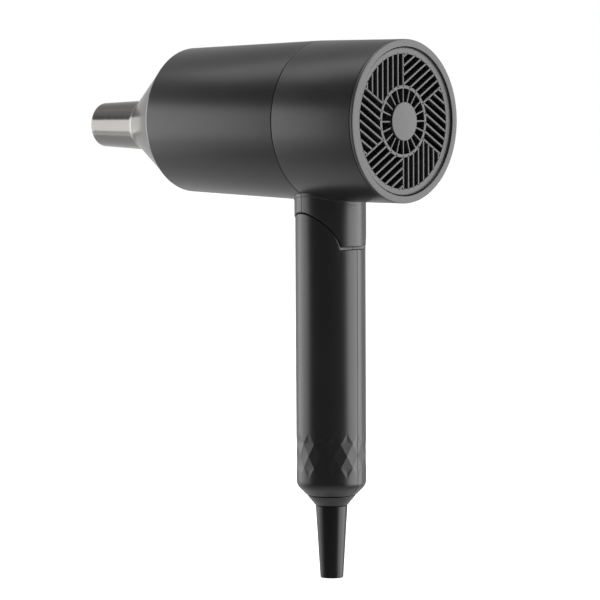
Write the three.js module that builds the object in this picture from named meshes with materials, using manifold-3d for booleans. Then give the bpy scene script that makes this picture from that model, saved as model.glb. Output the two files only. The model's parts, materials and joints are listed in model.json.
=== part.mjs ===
// A folding hair dryer: a tapered barrel with a rear air intake, an eccentric metal concentrator
// nozzle that turns and pulls off, and a round grip that folds forward under the barrel.
// Units are millimetres, +Z is up. The nozzle points along -X, the air intake faces +X and the
// dryer is symmetric about the plane y = 0. The working frame has x = 0 on the rear rim face and
// z = 0 on the barrel axis; the finished group is moved so that its origin is the centre of the
// bottom of its bounding box.
import * as THREE from 'three';
import { mergeVertices } from 'three/addons/utils/BufferGeometryUtils.js';
import Module from 'manifold-3d';

const wasm = await Module();
wasm.setup();

// ---------------------------------------------------------------- driving dimensions (mm)
const FIT = 0.3;                 // clearance between pieces that fit or seat on each other
const SEAM = 0.3;                // width of a parting line between two shells

// Barrel
const RIM_RADIUS = 39;           // outer radius at the rear rim
const REAR_TAPER = 0.2;          // radius lost from the rim to the shell seam
const FRONT_TAPER = 3;           // radius lost from the shell seam to the front edge
const REAR_LENGTH = 51;          // rim face to the shell seam
const FRONT_LENGTH = 85.3;       // shell seam to the front edge
const SHELL_WALL = 2;
const LIP_THICKNESS = 1.6;       // lip of the rear shell that closes the seam from inside
const LIP_LENGTH = 5;            // on each side of the seam
const EDGE_ROUND = 1;            // rounding of the barrel's front edge
const MOUTH_LIP = 1.4;           // wall left around the mouth where the nozzle seats
const MOUTH_DEPTH = 5.6;         // depth of the nozzle seat

// Rear bezel and intake grille
const BEZEL_FACE = 3.55;         // width of the flat annular rim
const BEZEL_THICKNESS = 1.6;
const GRILLE_RECESS = 1.3;       // rim face to the grille's outer face
const GRILLE_THICKNESS = 1.6;
const GRILLE_LEDGE = 1.9;        // inward ledge that carries the grille
const LEDGE_THICKNESS = 1.2;
const SLOT_OUTER_RADIUS = 32;
const BAND_OUTER_RADIUS = 17.2;  // plain ring between spokes and slanted slots
const BAND_INNER_RADIUS = 15.6;
const HUB_RADIUS = 9.2;
const HUB_PROUD = 0.8;           // height of the hub cap above the grille's face
const SLOT_PITCH = 3.76;
const SLOT_BAR = 0.8;
const SLOTS_PER_SECTOR = 7;
const SECTORS = 6;
const SPOKES = 20;
const SPOKE_WIDTH = 0.9;

// Filter, fan and motor
const FILTER_DEPTH = 2.2;
const FILTER_MESH = 0.5;
const DUCT_RADIUS = 33;          // outer radius of the fan duct
const DUCT_WALL = 2;
const DUCT_LENGTH = 47.7;
const DUCT_FLANGE = 2;
const FAN_SETBACK = 4.7;         // fan duct's mouth to the fan
const FAN_LENGTH = 12;
const FAN_HUB_RADIUS = 13;
const FAN_BLADES = 7;
const FAN_TIP_GAP = 0.6;
const BLADE_CHORD = 12;
const BLADE_THICKNESS = 1.4;
const BLADE_ANGLE = 38;          // degrees between a blade and the plane of the fan
const MOTOR_RADIUS = 12.2;
const MOTOR_LENGTH = 22.2;
const MOTOR_SHEET = 1;
const MOTOR_CUP_WALL = 2;
const CUP_FLOOR = 1.5;
const FAN_GAP = 2;               // fan to the motor's cup
const END_CAP_THICKNESS = 3;
const SHAFT_RADIUS = 1.15;
const VANES = 6;
const VANE_THICKNESS = 1.4;

// Heater
const HEATER_WALL = 0.8;
const HEATER_END_GAP = 3;        // nozzle seat to the outlet grille's room
const BOARD_THICKNESS = 0.9;
const COIL_RADIUS = 26.6;        // radius of the helix that the element follows
const ELEMENT_RADIUS = 1.1;      // radius of the coiled element itself
const COIL_PITCH = 6;
const COIL_TURNS = 4;
const OUTLET_THICKNESS = 2;

// Concentrator nozzle
const TIP_RADIUS = 11.06;
const TUBE_DRAFT = 0.048;        // radius gained per millimetre of tube, towards the barrel
const CONE_SLOPE = 0.698;        // radius gained per millimetre of cone
const CONE_INSET = 1.34;         // barrel's front edge to the cone's wide end, across the radius
const CONE_FLANGE = 1.2;         // length of the plain flange at the cone's wide end
const TUBE_LENGTH = 29.4;        // from the crossing of the cone and tube lines to the tip
const TUBE_DROP = 2.8;           // how far the tube's axis lies below the barrel's
const CORNER_BLEND = 2.5;        // reach of the rounding where the tube meets the cone
const DROP_REACH = 8;            // part of the cone that slides down towards the tube's axis
const NOZZLE_WALL = 1.3;

// Neck, fold hinge and grip
const HANDLE_SETBACK = 47.4;     // rim face to the grip's axis
const NECK_STEP = 0.4;           // how far the neck stands proud of the grip
const NECK_WALL = 2.2;
const NECK_DROP = 21.4;          // rim radius to the neck's rear lower edge
const GRIP_RADIUS = 17;
const GRIP_WALL = 2.4;
const GRIP_FLOOR = 3.8;          // thickness of the grip's floor, where the cord comes out
const PIVOT_FORWARD = 4.2;       // grip axis to the hinge axis
const PIVOT_DROP = 23.8;         // rim radius to the hinge axis
const EAR_RADIUS = 18.5;
const EAR_GAP = 0.4;
const LEDGE_RISE = 1.1;          // hinge axis to the ledge behind the ears
const TONGUE_HALF = 4;           // half thickness of the tongue between the ears
const TONGUE_RADIUS = 7.5;
const WASHER_THICKNESS = 0.6;
const PIN_RADIUS = 2.4;
const PIN_HALF_LENGTH = 12.2;
const GRIP_LENGTH = 118.5;       // hinge axis to the grip's lower face
const CHAMFER = 4.8;             // slanted part of the grip's lower edge

// Diamond facets around the lower grip
const FACETS_AROUND = 16;
const FACET_ROWS = 3;
const FACET_HALF_HEIGHT = 5.88;
const FACET_LIFT = 8.2;          // grip's lower face to the lowest facet tips

// Cord outlet
const COLLAR_RADIUS = 11.9;
const COLLAR_LENGTH = 4.8;
const RELIEF_TOP_RADIUS = 7.8;
const RELIEF_END_RADIUS = 5.6;
const RELIEF_LENGTH = 35.3;
const CORD_BORE_RADIUS = 3.3;

// Switches on the front of the grip, placed by their drop below the hinge axis
const PLATE_HALF_WIDTH = 7;
const PLATE_TOP = 19.2;
const PLATE_BOTTOM = 69.2;
const BUTTON_DROP = 27.2;
const BUTTON_RADIUS = 4.4;
const BUTTON_PROUD = 1.4;
const SLIDER_TRAVEL = 6;
const SLIDER_HALF_HEIGHT = 4;
const SLIDER_PROUD = 1.6;
const HEAT_DROP = 44.2;          // slider centres at rest, in their lowest notch
const SPEED_DROP = 60.2;
const BOARD_SETBACK = 3.6;       // grip axis to the switch board's middle, towards the nozzle
const BOARD_SHEET = 1.6;
const SWITCH_SETBACK = 2.8;      // grip's bore to the fronts of the slide switches
const GRIP_SCREW_DROPS = [21.2, 53.2, 86.2];
const SCREW_RADIUS = 1.3;
const SCREW_HEAD_RADIUS = 2.7;
const SCREW_HEAD_HEIGHT = 1.8;

// ---------------------------------------------------------------- derived places
const SEAM_RADIUS = RIM_RADIUS - REAR_TAPER;
const MOUTH_RADIUS = SEAM_RADIUS - FRONT_TAPER;
const SEAM_X = -REAR_LENGTH;
const MOUTH_X = SEAM_X - FRONT_LENGTH;
const SEAT_X = MOUTH_X + MOUTH_DEPTH;
const CONE_RADIUS = MOUTH_RADIUS - CONE_INSET;
const TUBE_ROOT_RADIUS = TIP_RADIUS + TUBE_DRAFT * TUBE_LENGTH;
const CONE_X = MOUTH_X - FIT - CONE_FLANGE;
const CORNER_X = CONE_X - (CONE_RADIUS - TUBE_ROOT_RADIUS) / CONE_SLOPE;
const TIP_X = CORNER_X - TUBE_LENGTH;
const HANDLE_X = -HANDLE_SETBACK;
const NECK_RADIUS = GRIP_RADIUS + NECK_STEP;
const PIVOT_X = HANDLE_X - PIVOT_FORWARD;
const PIVOT_Z = -(RIM_RADIUS + PIVOT_DROP);
const NECK_END_Z = -(RIM_RADIUS + NECK_DROP);
const GRIP_END_Z = PIVOT_Z - GRIP_LENGTH;
const CAVITY_RADIUS = GRIP_RADIUS - GRIP_WALL;
const FACET_DEPTH = GRIP_RADIUS * (1 - Math.cos(Math.PI / FACETS_AROUND));   // flat across
const FLOOR_Z = GRIP_END_Z + GRIP_FLOOR;
const COLLAR_TOP_Z = GRIP_END_Z - FIT;
const COLLAR_END_Z = COLLAR_TOP_Z - COLLAR_LENGTH;
const RELIEF_TOP_Z = COLLAR_END_Z - FIT;
const RELIEF_END_Z = RELIEF_TOP_Z - RELIEF_LENGTH;
const BEZEL_BORE = RIM_RADIUS - BEZEL_FACE;
const SLEEVE_RADIUS = RIM_RADIUS - SHELL_WALL - FIT;
const GRILLE_BACK_X = -(GRILLE_RECESS + GRILLE_THICKNESS);
const LEDGE_X = GRILLE_BACK_X - FIT;
const BEZEL_BACK_X = LEDGE_X - LEDGE_THICKNESS;
const FILTER_X = BEZEL_BACK_X - FIT;
const DUCT_X = FILTER_X - FILTER_DEPTH - FIT;
const DUCT_END_X = DUCT_X - DUCT_LENGTH;
const DUCT_BORE = DUCT_RADIUS - DUCT_WALL;
const FAN_X = DUCT_X - FAN_SETBACK;
const CUP_X = FAN_X - FAN_LENGTH - FAN_GAP;
const MOTOR_X = CUP_X - CUP_FLOOR - FIT;
const MOTOR_END_X = MOTOR_X - MOTOR_LENGTH;
const END_CAP_X = MOTOR_END_X - FIT;
const HEATER_RADIUS = DUCT_RADIUS;
const HEATER_X = DUCT_END_X - FIT;
const HEATER_END_X = SEAT_X + FIT + HEATER_END_GAP;
const OUTLET_X = HEATER_END_X - FIT;
const BOARD_X = HANDLE_X - BOARD_SETBACK;
const SWITCH_FRONT_X = HANDLE_X - CAVITY_RADIUS + SWITCH_SETBACK;

// ---------------------------------------------------------------- solids
/** Turns a closed three.js geometry into a solid for joining and cutting. */
function toSolid(geometry) {
  const bare = new THREE.BufferGeometry();
  bare.setAttribute('position', geometry.getAttribute('position'));
  bare.setIndex(geometry.getIndex());
  const merged = mergeVertices(bare, 1e-4);
  const index = merged.getIndex().array;
  const triangles = [];
  for (let i = 0; i < index.length; i += 3) {
    const [a, b, c] = [index[i], index[i + 1], index[i + 2]];
    if (a !== b && b !== c && c !== a) triangles.push(a, b, c);
  }
  return new wasm.Manifold(new wasm.Mesh({
    numProp: 3,
    vertProperties: new Float32Array(merged.getAttribute('position').array),
    triVerts: new Uint32Array(triangles),
  }));
}

const join = (first, ...others) => others.reduce((sum, solid) => sum.add(solid), first);
const cut = (first, ...others) => others.reduce((rest, solid) => rest.subtract(solid), first);

/** A box between two corners, each given as [x, y, z]. */
function box(low, high) {
  const size = high.map((value, i) => value - low[i]);
  const geometry = new THREE.BoxGeometry(...size);
  geometry.translate(...low.map((value, i) => value + size[i] / 2));
  return toSolid(geometry);
}

// Rotations that carry the +Y axis of a turned shape to another axis.
const TURN = {
  x: new THREE.Matrix4().makeRotationZ(-Math.PI / 2),
  y: new THREE.Matrix4(),
  z: new THREE.Matrix4().makeRotationX(Math.PI / 2),
};

/**
 * Turns a closed outline around an axis through a point. The outline is a list of
 * [radius, place along the axis], in either direction.
 */
function revolve(axis, outline, segments = 36, centre = [0, 0, 0]) {
  const points = outline.map(([radius, along]) => new THREE.Vector2(radius, along));
  if (THREE.ShapeUtils.area(points) < 0) points.reverse();
  points.push(points[0].clone());
  const geometry = new THREE.LatheGeometry(points, segments);
  geometry.applyMatrix4(TURN[axis]);
  geometry.translate(...centre);
  return toSolid(geometry);
}

/** A round bar along an axis, from one place on it to another. */
function rod(axis, radius, from, to, centre = [0, 0, 0], segments = 32) {
  return revolve(axis, [[0, from], [radius, from], [radius, to], [0, to]], segments, centre);
}

/** A ring or tube along an axis. */
function tube(axis, inner, outer, from, to, centre = [0, 0, 0], segments = 36) {
  return revolve(axis, [[inner, from], [outer, from], [outer, to], [inner, to]], segments, centre);
}

/** Points of a quadratic curve from one [radius, along] point to another, ends included. */
function bend(from, control, to, steps) {
  const curve = new THREE.QuadraticBezierCurve(
    new THREE.Vector2(...from), new THREE.Vector2(...control), new THREE.Vector2(...to));
  return curve.getPoints(steps).map((point) => [point.x, point.y]);
}

/** A round bar swept along a helix around the X axis; both of its ends lie at 45 degrees. */
function helixAlongX(radius, barRadius, startX, pitch, turns, centre, sides, stepsPerTurn) {
  class Helix extends THREE.Curve {
    getPoint(t, target = new THREE.Vector3()) {
      const angle = Math.PI / 4 + 2 * Math.PI * turns * t;
      const x = startX - pitch * turns * t;
      return target.set(x, radius * Math.cos(angle), radius * Math.sin(angle));
    }
  }
  const section = new THREE.Shape();
  for (let i = 0; i < sides; i += 1) {
    const angle = (2 * Math.PI * i) / sides;
    const point = [barRadius * Math.cos(angle), barRadius * Math.sin(angle)];
    if (i === 0) section.moveTo(...point);
    else section.lineTo(...point);
  }
  const geometry = new THREE.ExtrudeGeometry(section, {
    steps: Math.round(stepsPerTurn * turns), extrudePath: new Helix(), curveSegments: sides,
  });
  geometry.translate(...centre);
  return toSolid(geometry);
}

/** A pan head screw along Y. Its head starts at headY and it runs towards the sign given. */
function screw(x, headY, z, length, direction) {
  return revolve('y', [
    [0, headY], [SCREW_HEAD_RADIUS * 0.8, headY],
    [SCREW_HEAD_RADIUS, headY + direction * SCREW_HEAD_HEIGHT * 0.4],
    [SCREW_HEAD_RADIUS, headY + direction * SCREW_HEAD_HEIGHT],
    [SCREW_RADIUS, headY + direction * SCREW_HEAD_HEIGHT],
    [SCREW_RADIUS, headY + direction * (length - 1)],
    [SCREW_RADIUS * 0.4, headY + direction * length],
    [0, headY + direction * length],
  ], 12, [x, 0, z]);
}

// ---------------------------------------------------------------- materials and assembly
function finish(color, roughness, metalness = 0) {
  return () => new THREE.MeshStandardMaterial({ color, roughness, metalness });
}

const FINISHES = {
  satinBlack: finish(0x1b1b1c, 0.42),
  grilleBlack: finish(0x2a2a2c, 0.5),
  glossBlack: finish(0x101011, 0.25),
  darkChrome: finish(0x6a6866, 0.18, 1),
  duct: finish(0x2d2d30, 0.6),
  steel: finish(0xa9acb0, 0.35, 1),
  mica: finish(0xb9a98a, 0.75),
  element: finish(0x8e8780, 0.4, 1),
  board: finish(0x1f5a36, 0.6),
  switchBody: finish(0x39393c, 0.6),
  white: finish(0xd8d8d4, 0.5),
  copper: finish(0xb46a3c, 0.4, 1),
  filter: finish(0x77797c, 0.5, 1),
};

const dryer = new THREE.Group();
dryer.name = 'hair_dryer';

/** Adds a solid to the dryer as a named mesh with a finish of its own. */
function addPart(name, solid, finishName) {
  const { vertProperties, triVerts } = solid.getMesh();
  const geometry = new THREE.BufferGeometry();
  geometry.setAttribute('position', new THREE.BufferAttribute(vertProperties, 3));
  geometry.setIndex(new THREE.BufferAttribute(triVerts, 1));
  geometry.computeVertexNormals();
  const mesh = new THREE.Mesh(geometry, FINISHES[finishName]());
  mesh.name = name;
  dryer.add(mesh);
}

/** Outer radius of the barrel at a place along its axis. */
function barrelRadius(x) {
  if (x > SEAM_X) return THREE.MathUtils.mapLinear(x, SEAM_X, 0, SEAM_RADIUS, RIM_RADIUS);
  return THREE.MathUtils.mapLinear(x, MOUTH_X, SEAM_X, MOUTH_RADIUS, SEAM_RADIUS);
}

// ---------------------------------------------------------------- barrel shells
const BEYOND = 200;              // reaches past the whole dryer
const BARREL_SEGMENTS = 40;
const HANDLE_AXIS = [HANDLE_X, 0, 0];
const PIVOT = [PIVOT_X, 0, PIVOT_Z];
const PIVOT_SEGMENTS = 48;

/** Everything on the nozzle side (-1) or the rear side (+1) of a plane across the barrel. */
function besideX(x, side) {
  const [low, high] = side < 0 ? [-2 * BEYOND, x] : [x, BEYOND];
  return box([low, -BEYOND, -BEYOND], [high, BEYOND, BEYOND]);
}

function addBarrelShells() {
  const rearX = -BEZEL_THICKNESS - FIT;
  const outside = revolve('x', [
    [0, rearX], [barrelRadius(rearX), rearX], [SEAM_RADIUS, SEAM_X],
    ...bend([barrelRadius(MOUTH_X + EDGE_ROUND), MOUTH_X + EDGE_ROUND], [MOUTH_RADIUS, MOUTH_X],
      [MOUTH_RADIUS - EDGE_ROUND * 0.6, MOUTH_X], 3),
    [0, MOUTH_X],
  ], BARREL_SEGMENTS);
  const inside = revolve('x', [
    [0, 1], [RIM_RADIUS - SHELL_WALL, 1], [RIM_RADIUS - SHELL_WALL, rearX],
    [SEAM_RADIUS - SHELL_WALL, SEAM_X], [barrelRadius(SEAT_X) - SHELL_WALL, SEAT_X],
    [MOUTH_RADIUS - MOUTH_LIP, SEAT_X], [MOUTH_RADIUS - MOUTH_LIP, MOUTH_X - 1], [0, MOUTH_X - 1],
  ], BARREL_SEGMENTS);
  const neckTop = -RIM_RADIUS * 0.7;
  const neck = rod('z', NECK_RADIUS, NECK_END_Z, neckTop, HANDLE_AXIS, 40);
  const neckBore = rod('z', NECK_RADIUS - NECK_WALL, NECK_END_Z - 5, neckTop, HANDLE_AXIS, 32);
  const earClearance = rod('y', EAR_RADIUS + EAR_GAP, -BEYOND, BEYOND, PIVOT, PIVOT_SEGMENTS);
  const both = cut(join(outside, neck), inside, neckBore, earClearance);

  const lipRadius = SEAM_RADIUS - SHELL_WALL;
  const lip = cut(revolve('x', [
    [lipRadius + 0.5, SEAM_X + LIP_LENGTH], [lipRadius - LIP_THICKNESS, SEAM_X + LIP_LENGTH],
    [lipRadius - LIP_THICKNESS, SEAM_X - LIP_LENGTH], [lipRadius - 0.5, SEAM_X - LIP_LENGTH],
    [lipRadius - 0.5, SEAM_X + SEAM], [lipRadius + 0.5, SEAM_X + SEAM],
  ], BARREL_SEGMENTS), rod('z', NECK_RADIUS + FIT, -BEYOND, 0, HANDLE_AXIS, 32));

  addPart('front_shell', both.intersect(besideX(SEAM_X - SEAM / 2, -1)), 'satinBlack');
  addPart('rear_shell', join(both.intersect(besideX(SEAM_X + SEAM / 2, 1)), lip), 'satinBlack');
}

// ---------------------------------------------------------------- rear bezel, grille, filter
function addRearEnd() {
  addPart('rear_bezel', revolve('x', [
    [BEZEL_BORE, 0], [RIM_RADIUS - 0.4, 0], [RIM_RADIUS, -0.4], [RIM_RADIUS, -BEZEL_THICKNESS],
    [SLEEVE_RADIUS, -BEZEL_THICKNESS], [SLEEVE_RADIUS, BEZEL_BACK_X],
    [BEZEL_BORE - GRILLE_LEDGE, BEZEL_BACK_X], [BEZEL_BORE - GRILLE_LEDGE, LEDGE_X],
    [BEZEL_BORE, LEDGE_X],
  ], BARREL_SEGMENTS), 'grilleBlack');

  const front = -GRILLE_RECESS + 1;
  const back = GRILLE_BACK_X - 1;
  const plate = rod('x', BEZEL_BORE - FIT, GRILLE_BACK_X, -GRILLE_RECESS, [0, 0, 0], BARREL_SEGMENTS);
  const stemBore = rod('x', HUB_RADIUS * 0.35 + FIT, back, front, [0, 0, 0], 16);

  // One pinwheel sector: parallel slots that start on a line 60 degrees from their own direction.
  const sectorAngle = (2 * Math.PI) / SECTORS;
  const slots = [];
  for (let i = 0; i < SLOTS_PER_SECTOR; i += 1) {
    const low = i * SLOT_PITCH + SLOT_BAR / 2;
    const high = (i + 1) * SLOT_PITCH - SLOT_BAR / 2;
    slots.push(box([back, 0, low], [front, SLOT_OUTER_RADIUS * 1.1, high]));
  }
  const wedge = new THREE.Shape();
  const inset = SLOT_BAR / (2 * Math.sin(sectorAngle));
  const reach = SLOT_OUTER_RADIUS * 1.3;
  wedge.moveTo(inset, 0);
  wedge.lineTo(inset + reach, 0);
  wedge.lineTo(inset + reach, reach * Math.sin(sectorAngle));
  wedge.lineTo(inset + reach * Math.cos(sectorAngle), reach * Math.sin(sectorAngle));
  wedge.closePath();
  const wedgeGeometry = new THREE.ExtrudeGeometry(wedge, { depth: front - back, bevelEnabled: false });
  wedgeGeometry.applyMatrix4(new THREE.Matrix4().makeBasis(
    new THREE.Vector3(0, 1, 0), new THREE.Vector3(0, 0, 1), new THREE.Vector3(1, 0, 0)));
  wedgeGeometry.translate(back, 0, 0);
  const slotRing = tube('x', BAND_OUTER_RADIUS, SLOT_OUTER_RADIUS, back, front);
  const sector = join(...slots).intersect(toSolid(wedgeGeometry)).intersect(slotRing);
  const sectors = [];
  for (let k = 0; k < SECTORS; k += 1) sectors.push(sector.rotate([30 + (360 / SECTORS) * k, 0, 0]));

  // The inner openings: a ring cut by straight spokes, each pair drawn as one bar.
  const spokes = [];
  for (let i = 0; i < SPOKES / 2; i += 1) {
    const bar = box([back - 1, -BAND_INNER_RADIUS - 1, -SPOKE_WIDTH / 2],
      [front + 1, BAND_INNER_RADIUS + 1, SPOKE_WIDTH / 2]);
    spokes.push(bar.rotate([90 + (360 / SPOKES) * i, 0, 0]));
  }
  const innerRing = tube('x', HUB_RADIUS, BAND_INNER_RADIUS, back, front, [0, 0, 0], SPOKES);
  addPart('intake_grille', cut(plate, stemBore, ...sectors, cut(innerRing, ...spokes)), 'grilleBlack');

  const capBase = -GRILLE_RECESS + FIT;
  const capFace = capBase + HUB_PROUD - FIT;
  addPart('grille_hub_cap', revolve('x', [
    [0, GRILLE_BACK_X], [HUB_RADIUS * 0.35, GRILLE_BACK_X], [HUB_RADIUS * 0.35, capBase],
    [HUB_RADIUS, capBase], ...bend([HUB_RADIUS, capFace - 0.5], [HUB_RADIUS, capFace],
      [HUB_RADIUS - 0.6, capFace], 2), [0, capFace],
  ], 32), 'grilleBlack');

  const rimWidth = 3.4;
  const meshX = FILTER_X - FILTER_DEPTH / 2;
  addPart('filter_frame', tube('x', SLEEVE_RADIUS - rimWidth, SLEEVE_RADIUS, FILTER_X - FILTER_DEPTH,
    FILTER_X), 'duct');
  addPart('filter_mesh', rod('x', SLEEVE_RADIUS - rimWidth - FIT, meshX - FILTER_MESH / 2,
    meshX + FILTER_MESH / 2, [0, 0, 0], 36), 'filter');
}

// ---------------------------------------------------------------- fan duct, motor and fan
function addFanAndMotor() {
  const cupBore = MOTOR_RADIUS + FIT;
  const cupRadius = cupBore + MOTOR_CUP_WALL;
  const flangeRadius = SEAM_RADIUS - SHELL_WALL - LIP_THICKNESS - FIT;
  const duct = revolve('x', [
    [DUCT_BORE, DUCT_X], [SLEEVE_RADIUS, DUCT_X], [SLEEVE_RADIUS, DUCT_X - DUCT_FLANGE],
    [DUCT_RADIUS, DUCT_X - DUCT_FLANGE], [DUCT_RADIUS, DUCT_END_X + DUCT_FLANGE],
    [flangeRadius, DUCT_END_X + DUCT_FLANGE], [flangeRadius, DUCT_END_X], [DUCT_BORE, DUCT_END_X],
  ]);
  const cup = revolve('x', [
    [SHAFT_RADIUS + 2, CUP_X], [cupRadius, CUP_X], [cupRadius, MOTOR_END_X + 2],
    [cupBore, MOTOR_END_X + 2], [cupBore, CUP_X - CUP_FLOOR], [SHAFT_RADIUS + 2, CUP_X - CUP_FLOOR],
  ], 32);
  const vanes = [];
  for (let i = 0; i < VANES; i += 1) {
    const vane = box([CUP_X - 14, cupRadius - 1, -VANE_THICKNESS / 2],
      [CUP_X - 1, DUCT_BORE + 0.5, VANE_THICKNESS / 2]);
    vanes.push(vane.rotate([(360 / VANES) * i, 0, 0]));
  }
  // The duct's front flange steps round the neck, which opens into the barrel there.
  const neckRoom = box([DUCT_END_X - 1, -NECK_RADIUS, -BEYOND], [DUCT_END_X + DUCT_FLANGE, NECK_RADIUS,
    -DUCT_RADIUS]);
  addPart('fan_duct', cut(join(duct, cup, ...vanes), neckRoom), 'duct');

  const bush = SHAFT_RADIUS + FIT;
  addPart('motor_can', revolve('x', [
    [bush, MOTOR_X], [MOTOR_RADIUS, MOTOR_X], [MOTOR_RADIUS, MOTOR_END_X],
    [MOTOR_RADIUS - MOTOR_SHEET, MOTOR_END_X], [MOTOR_RADIUS - MOTOR_SHEET, MOTOR_X - MOTOR_SHEET],
    [bush, MOTOR_X - MOTOR_SHEET],
  ], 32), 'steel');
  addPart('motor_end_cap', revolve('x', [
    [bush, END_CAP_X], [MOTOR_RADIUS, END_CAP_X], [MOTOR_RADIUS, END_CAP_X - END_CAP_THICKNESS],
    [bush, END_CAP_X - END_CAP_THICKNESS],
  ], 32), 'white');

  const packEnds = [MOTOR_X - MOTOR_SHEET - 2.5, MOTOR_END_X + 2];
  const magnetOuter = MOTOR_RADIUS - MOTOR_SHEET - FIT;
  const magnetInner = magnetOuter - 1.6;
  const magnets = tube('x', magnetInner, magnetOuter, packEnds[1], packEnds[0], [0, 0, 0], 32);
  const magnetHalf = MOTOR_RADIUS * 0.25;
  addPart('motor_magnet_upper', magnets.intersect(
    box([-BEYOND, -BEYOND, magnetHalf], [0, BEYOND, BEYOND])), 'switchBody');
  addPart('motor_magnet_lower', magnets.intersect(
    box([-BEYOND, -BEYOND, -BEYOND], [0, BEYOND, -magnetHalf])), 'switchBody');
  addPart('motor_armature', tube('x', bush, magnetInner - 0.5, packEnds[1], packEnds[0], [0, 0, 0], 24),
    'copper');
  addPart('motor_shaft', rod('x', SHAFT_RADIUS, END_CAP_X - END_CAP_THICKNESS - 1, FAN_X - 1.5,
    [0, 0, 0], 12), 'steel');

  const tip = DUCT_BORE - FAN_TIP_GAP;
  const hub = cut(
    rod('x', FAN_HUB_RADIUS, FAN_X - FAN_LENGTH, FAN_X, [0, 0, 0], 28),
    rod('x', FAN_HUB_RADIUS - 2, FAN_X - FAN_LENGTH - 1, FAN_X - 2, [0, 0, 0], 24));
  const boss = rod('x', SHAFT_RADIUS + FIT + 2, FAN_X - FAN_LENGTH, FAN_X - 1.8, [0, 0, 0], 16);
  const shaftBore = rod('x', bush, FAN_X - FAN_LENGTH - 1, FAN_X - 1.2, [0, 0, 0], 12);
  const blade = new THREE.BoxGeometry(BLADE_CHORD, BLADE_THICKNESS, DUCT_RADIUS - FAN_HUB_RADIUS + 1);
  blade.rotateZ(THREE.MathUtils.degToRad(90 - BLADE_ANGLE));
  blade.translate(FAN_X - FAN_LENGTH / 2, 0, (DUCT_RADIUS + FAN_HUB_RADIUS) / 2 - 0.5);
  const bladeSolid = toSolid(blade).intersect(
    rod('x', tip, FAN_X - FAN_LENGTH, FAN_X, [0, 0, 0], 96));
  const blades = [];
  for (let i = 0; i < FAN_BLADES; i += 1) blades.push(bladeSolid.rotate([(360 / FAN_BLADES) * i, 0, 0]));
  addPart('fan', cut(join(hub, boss, ...blades), shaftBore), 'duct');
}

// ---------------------------------------------------------------- heater and outlet grille
function addHeater() {
  const bore = HEATER_RADIUS - HEATER_WALL;
  addPart('heater_tube', tube('x', bore, HEATER_RADIUS, HEATER_END_X, HEATER_X), 'mica');

  const coilRun = COIL_PITCH * COIL_TURNS;
  const boardStart = HEATER_X - 3;
  const boardEnd = HEATER_END_X + 2;
  const middle = (boardStart + boardEnd) / 2;
  const coilStarts = [middle + coilRun + 1.5, middle - 1.5];
  const edge = COIL_RADIUS + ELEMENT_RADIUS;
  const tab = bore - FIT;
  const wires = coilStarts.map((start) => helixAlongX(COIL_RADIUS, ELEMENT_RADIUS, start, COIL_PITCH,
    COIL_TURNS, [0, 0, 0], 5, 14));
  const notches = coilStarts.map((start) => helixAlongX(COIL_RADIUS,
    (ELEMENT_RADIUS + FIT) * Math.SQRT2, start, COIL_PITCH, COIL_TURNS, [0, 0, 0], 4, 14));
  addPart('heating_coil_rear', wires[0], 'element');
  addPart('heating_coil_front', wires[1], 'element');

  // Two mica boards cross on the barrel axis, each slotted half way to take the other.
  const half = BOARD_THICKNESS / 2;
  const blank = join(
    box([boardEnd, -edge, -half], [boardStart, edge, half]),
    box([boardEnd, -tab, -half], [boardEnd + 4, tab, half]),
    box([boardStart - 4, -tab, -half], [boardStart, tab, half]));
  const halfLap = (from, to) => box([from, -half - FIT, -half - FIT], [to, half + FIT, half + FIT]);
  const level = cut(blank, halfLap(middle - FIT / 2, boardStart + 1), ...notches);
  const upright = cut(blank.rotate([90, 0, 0]), halfLap(boardEnd - 1, middle + FIT / 2), ...notches);
  addPart('heater_board_level', level, 'mica');
  addPart('heater_board_upright', upright, 'mica');

  const deck = half + FIT;
  addPart('thermal_cutout', box([boardStart - 15, 6, deck], [boardStart - 7, 13, deck + 4]), 'white');
  addPart('thermal_fuse', rod('x', 1.6, boardStart - 19, boardStart - 7, [0, -9, deck + 1.6], 12),
    'steel');

  const outletRadius = barrelRadius(OUTLET_X - OUTLET_THICKNESS) - SHELL_WALL - FIT;
  const rings = [[outletRadius - 2.2, outletRadius], [22.8, 24], [12.8, 14]].map(([inner, outer]) => (
    tube('x', inner, outer, OUTLET_X - OUTLET_THICKNESS, OUTLET_X, [0, 0, 0], 24)));
  const spokeRun = outletRadius - 1;
  const spokes = [0, 60, 120].map((angle) => (
    box([OUTLET_X - OUTLET_THICKNESS, -spokeRun, -0.7], [OUTLET_X, spokeRun, 0.7]).rotate([angle, 0, 0])));
  addPart('outlet_grille', join(...rings, ...spokes), 'duct');
}

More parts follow.
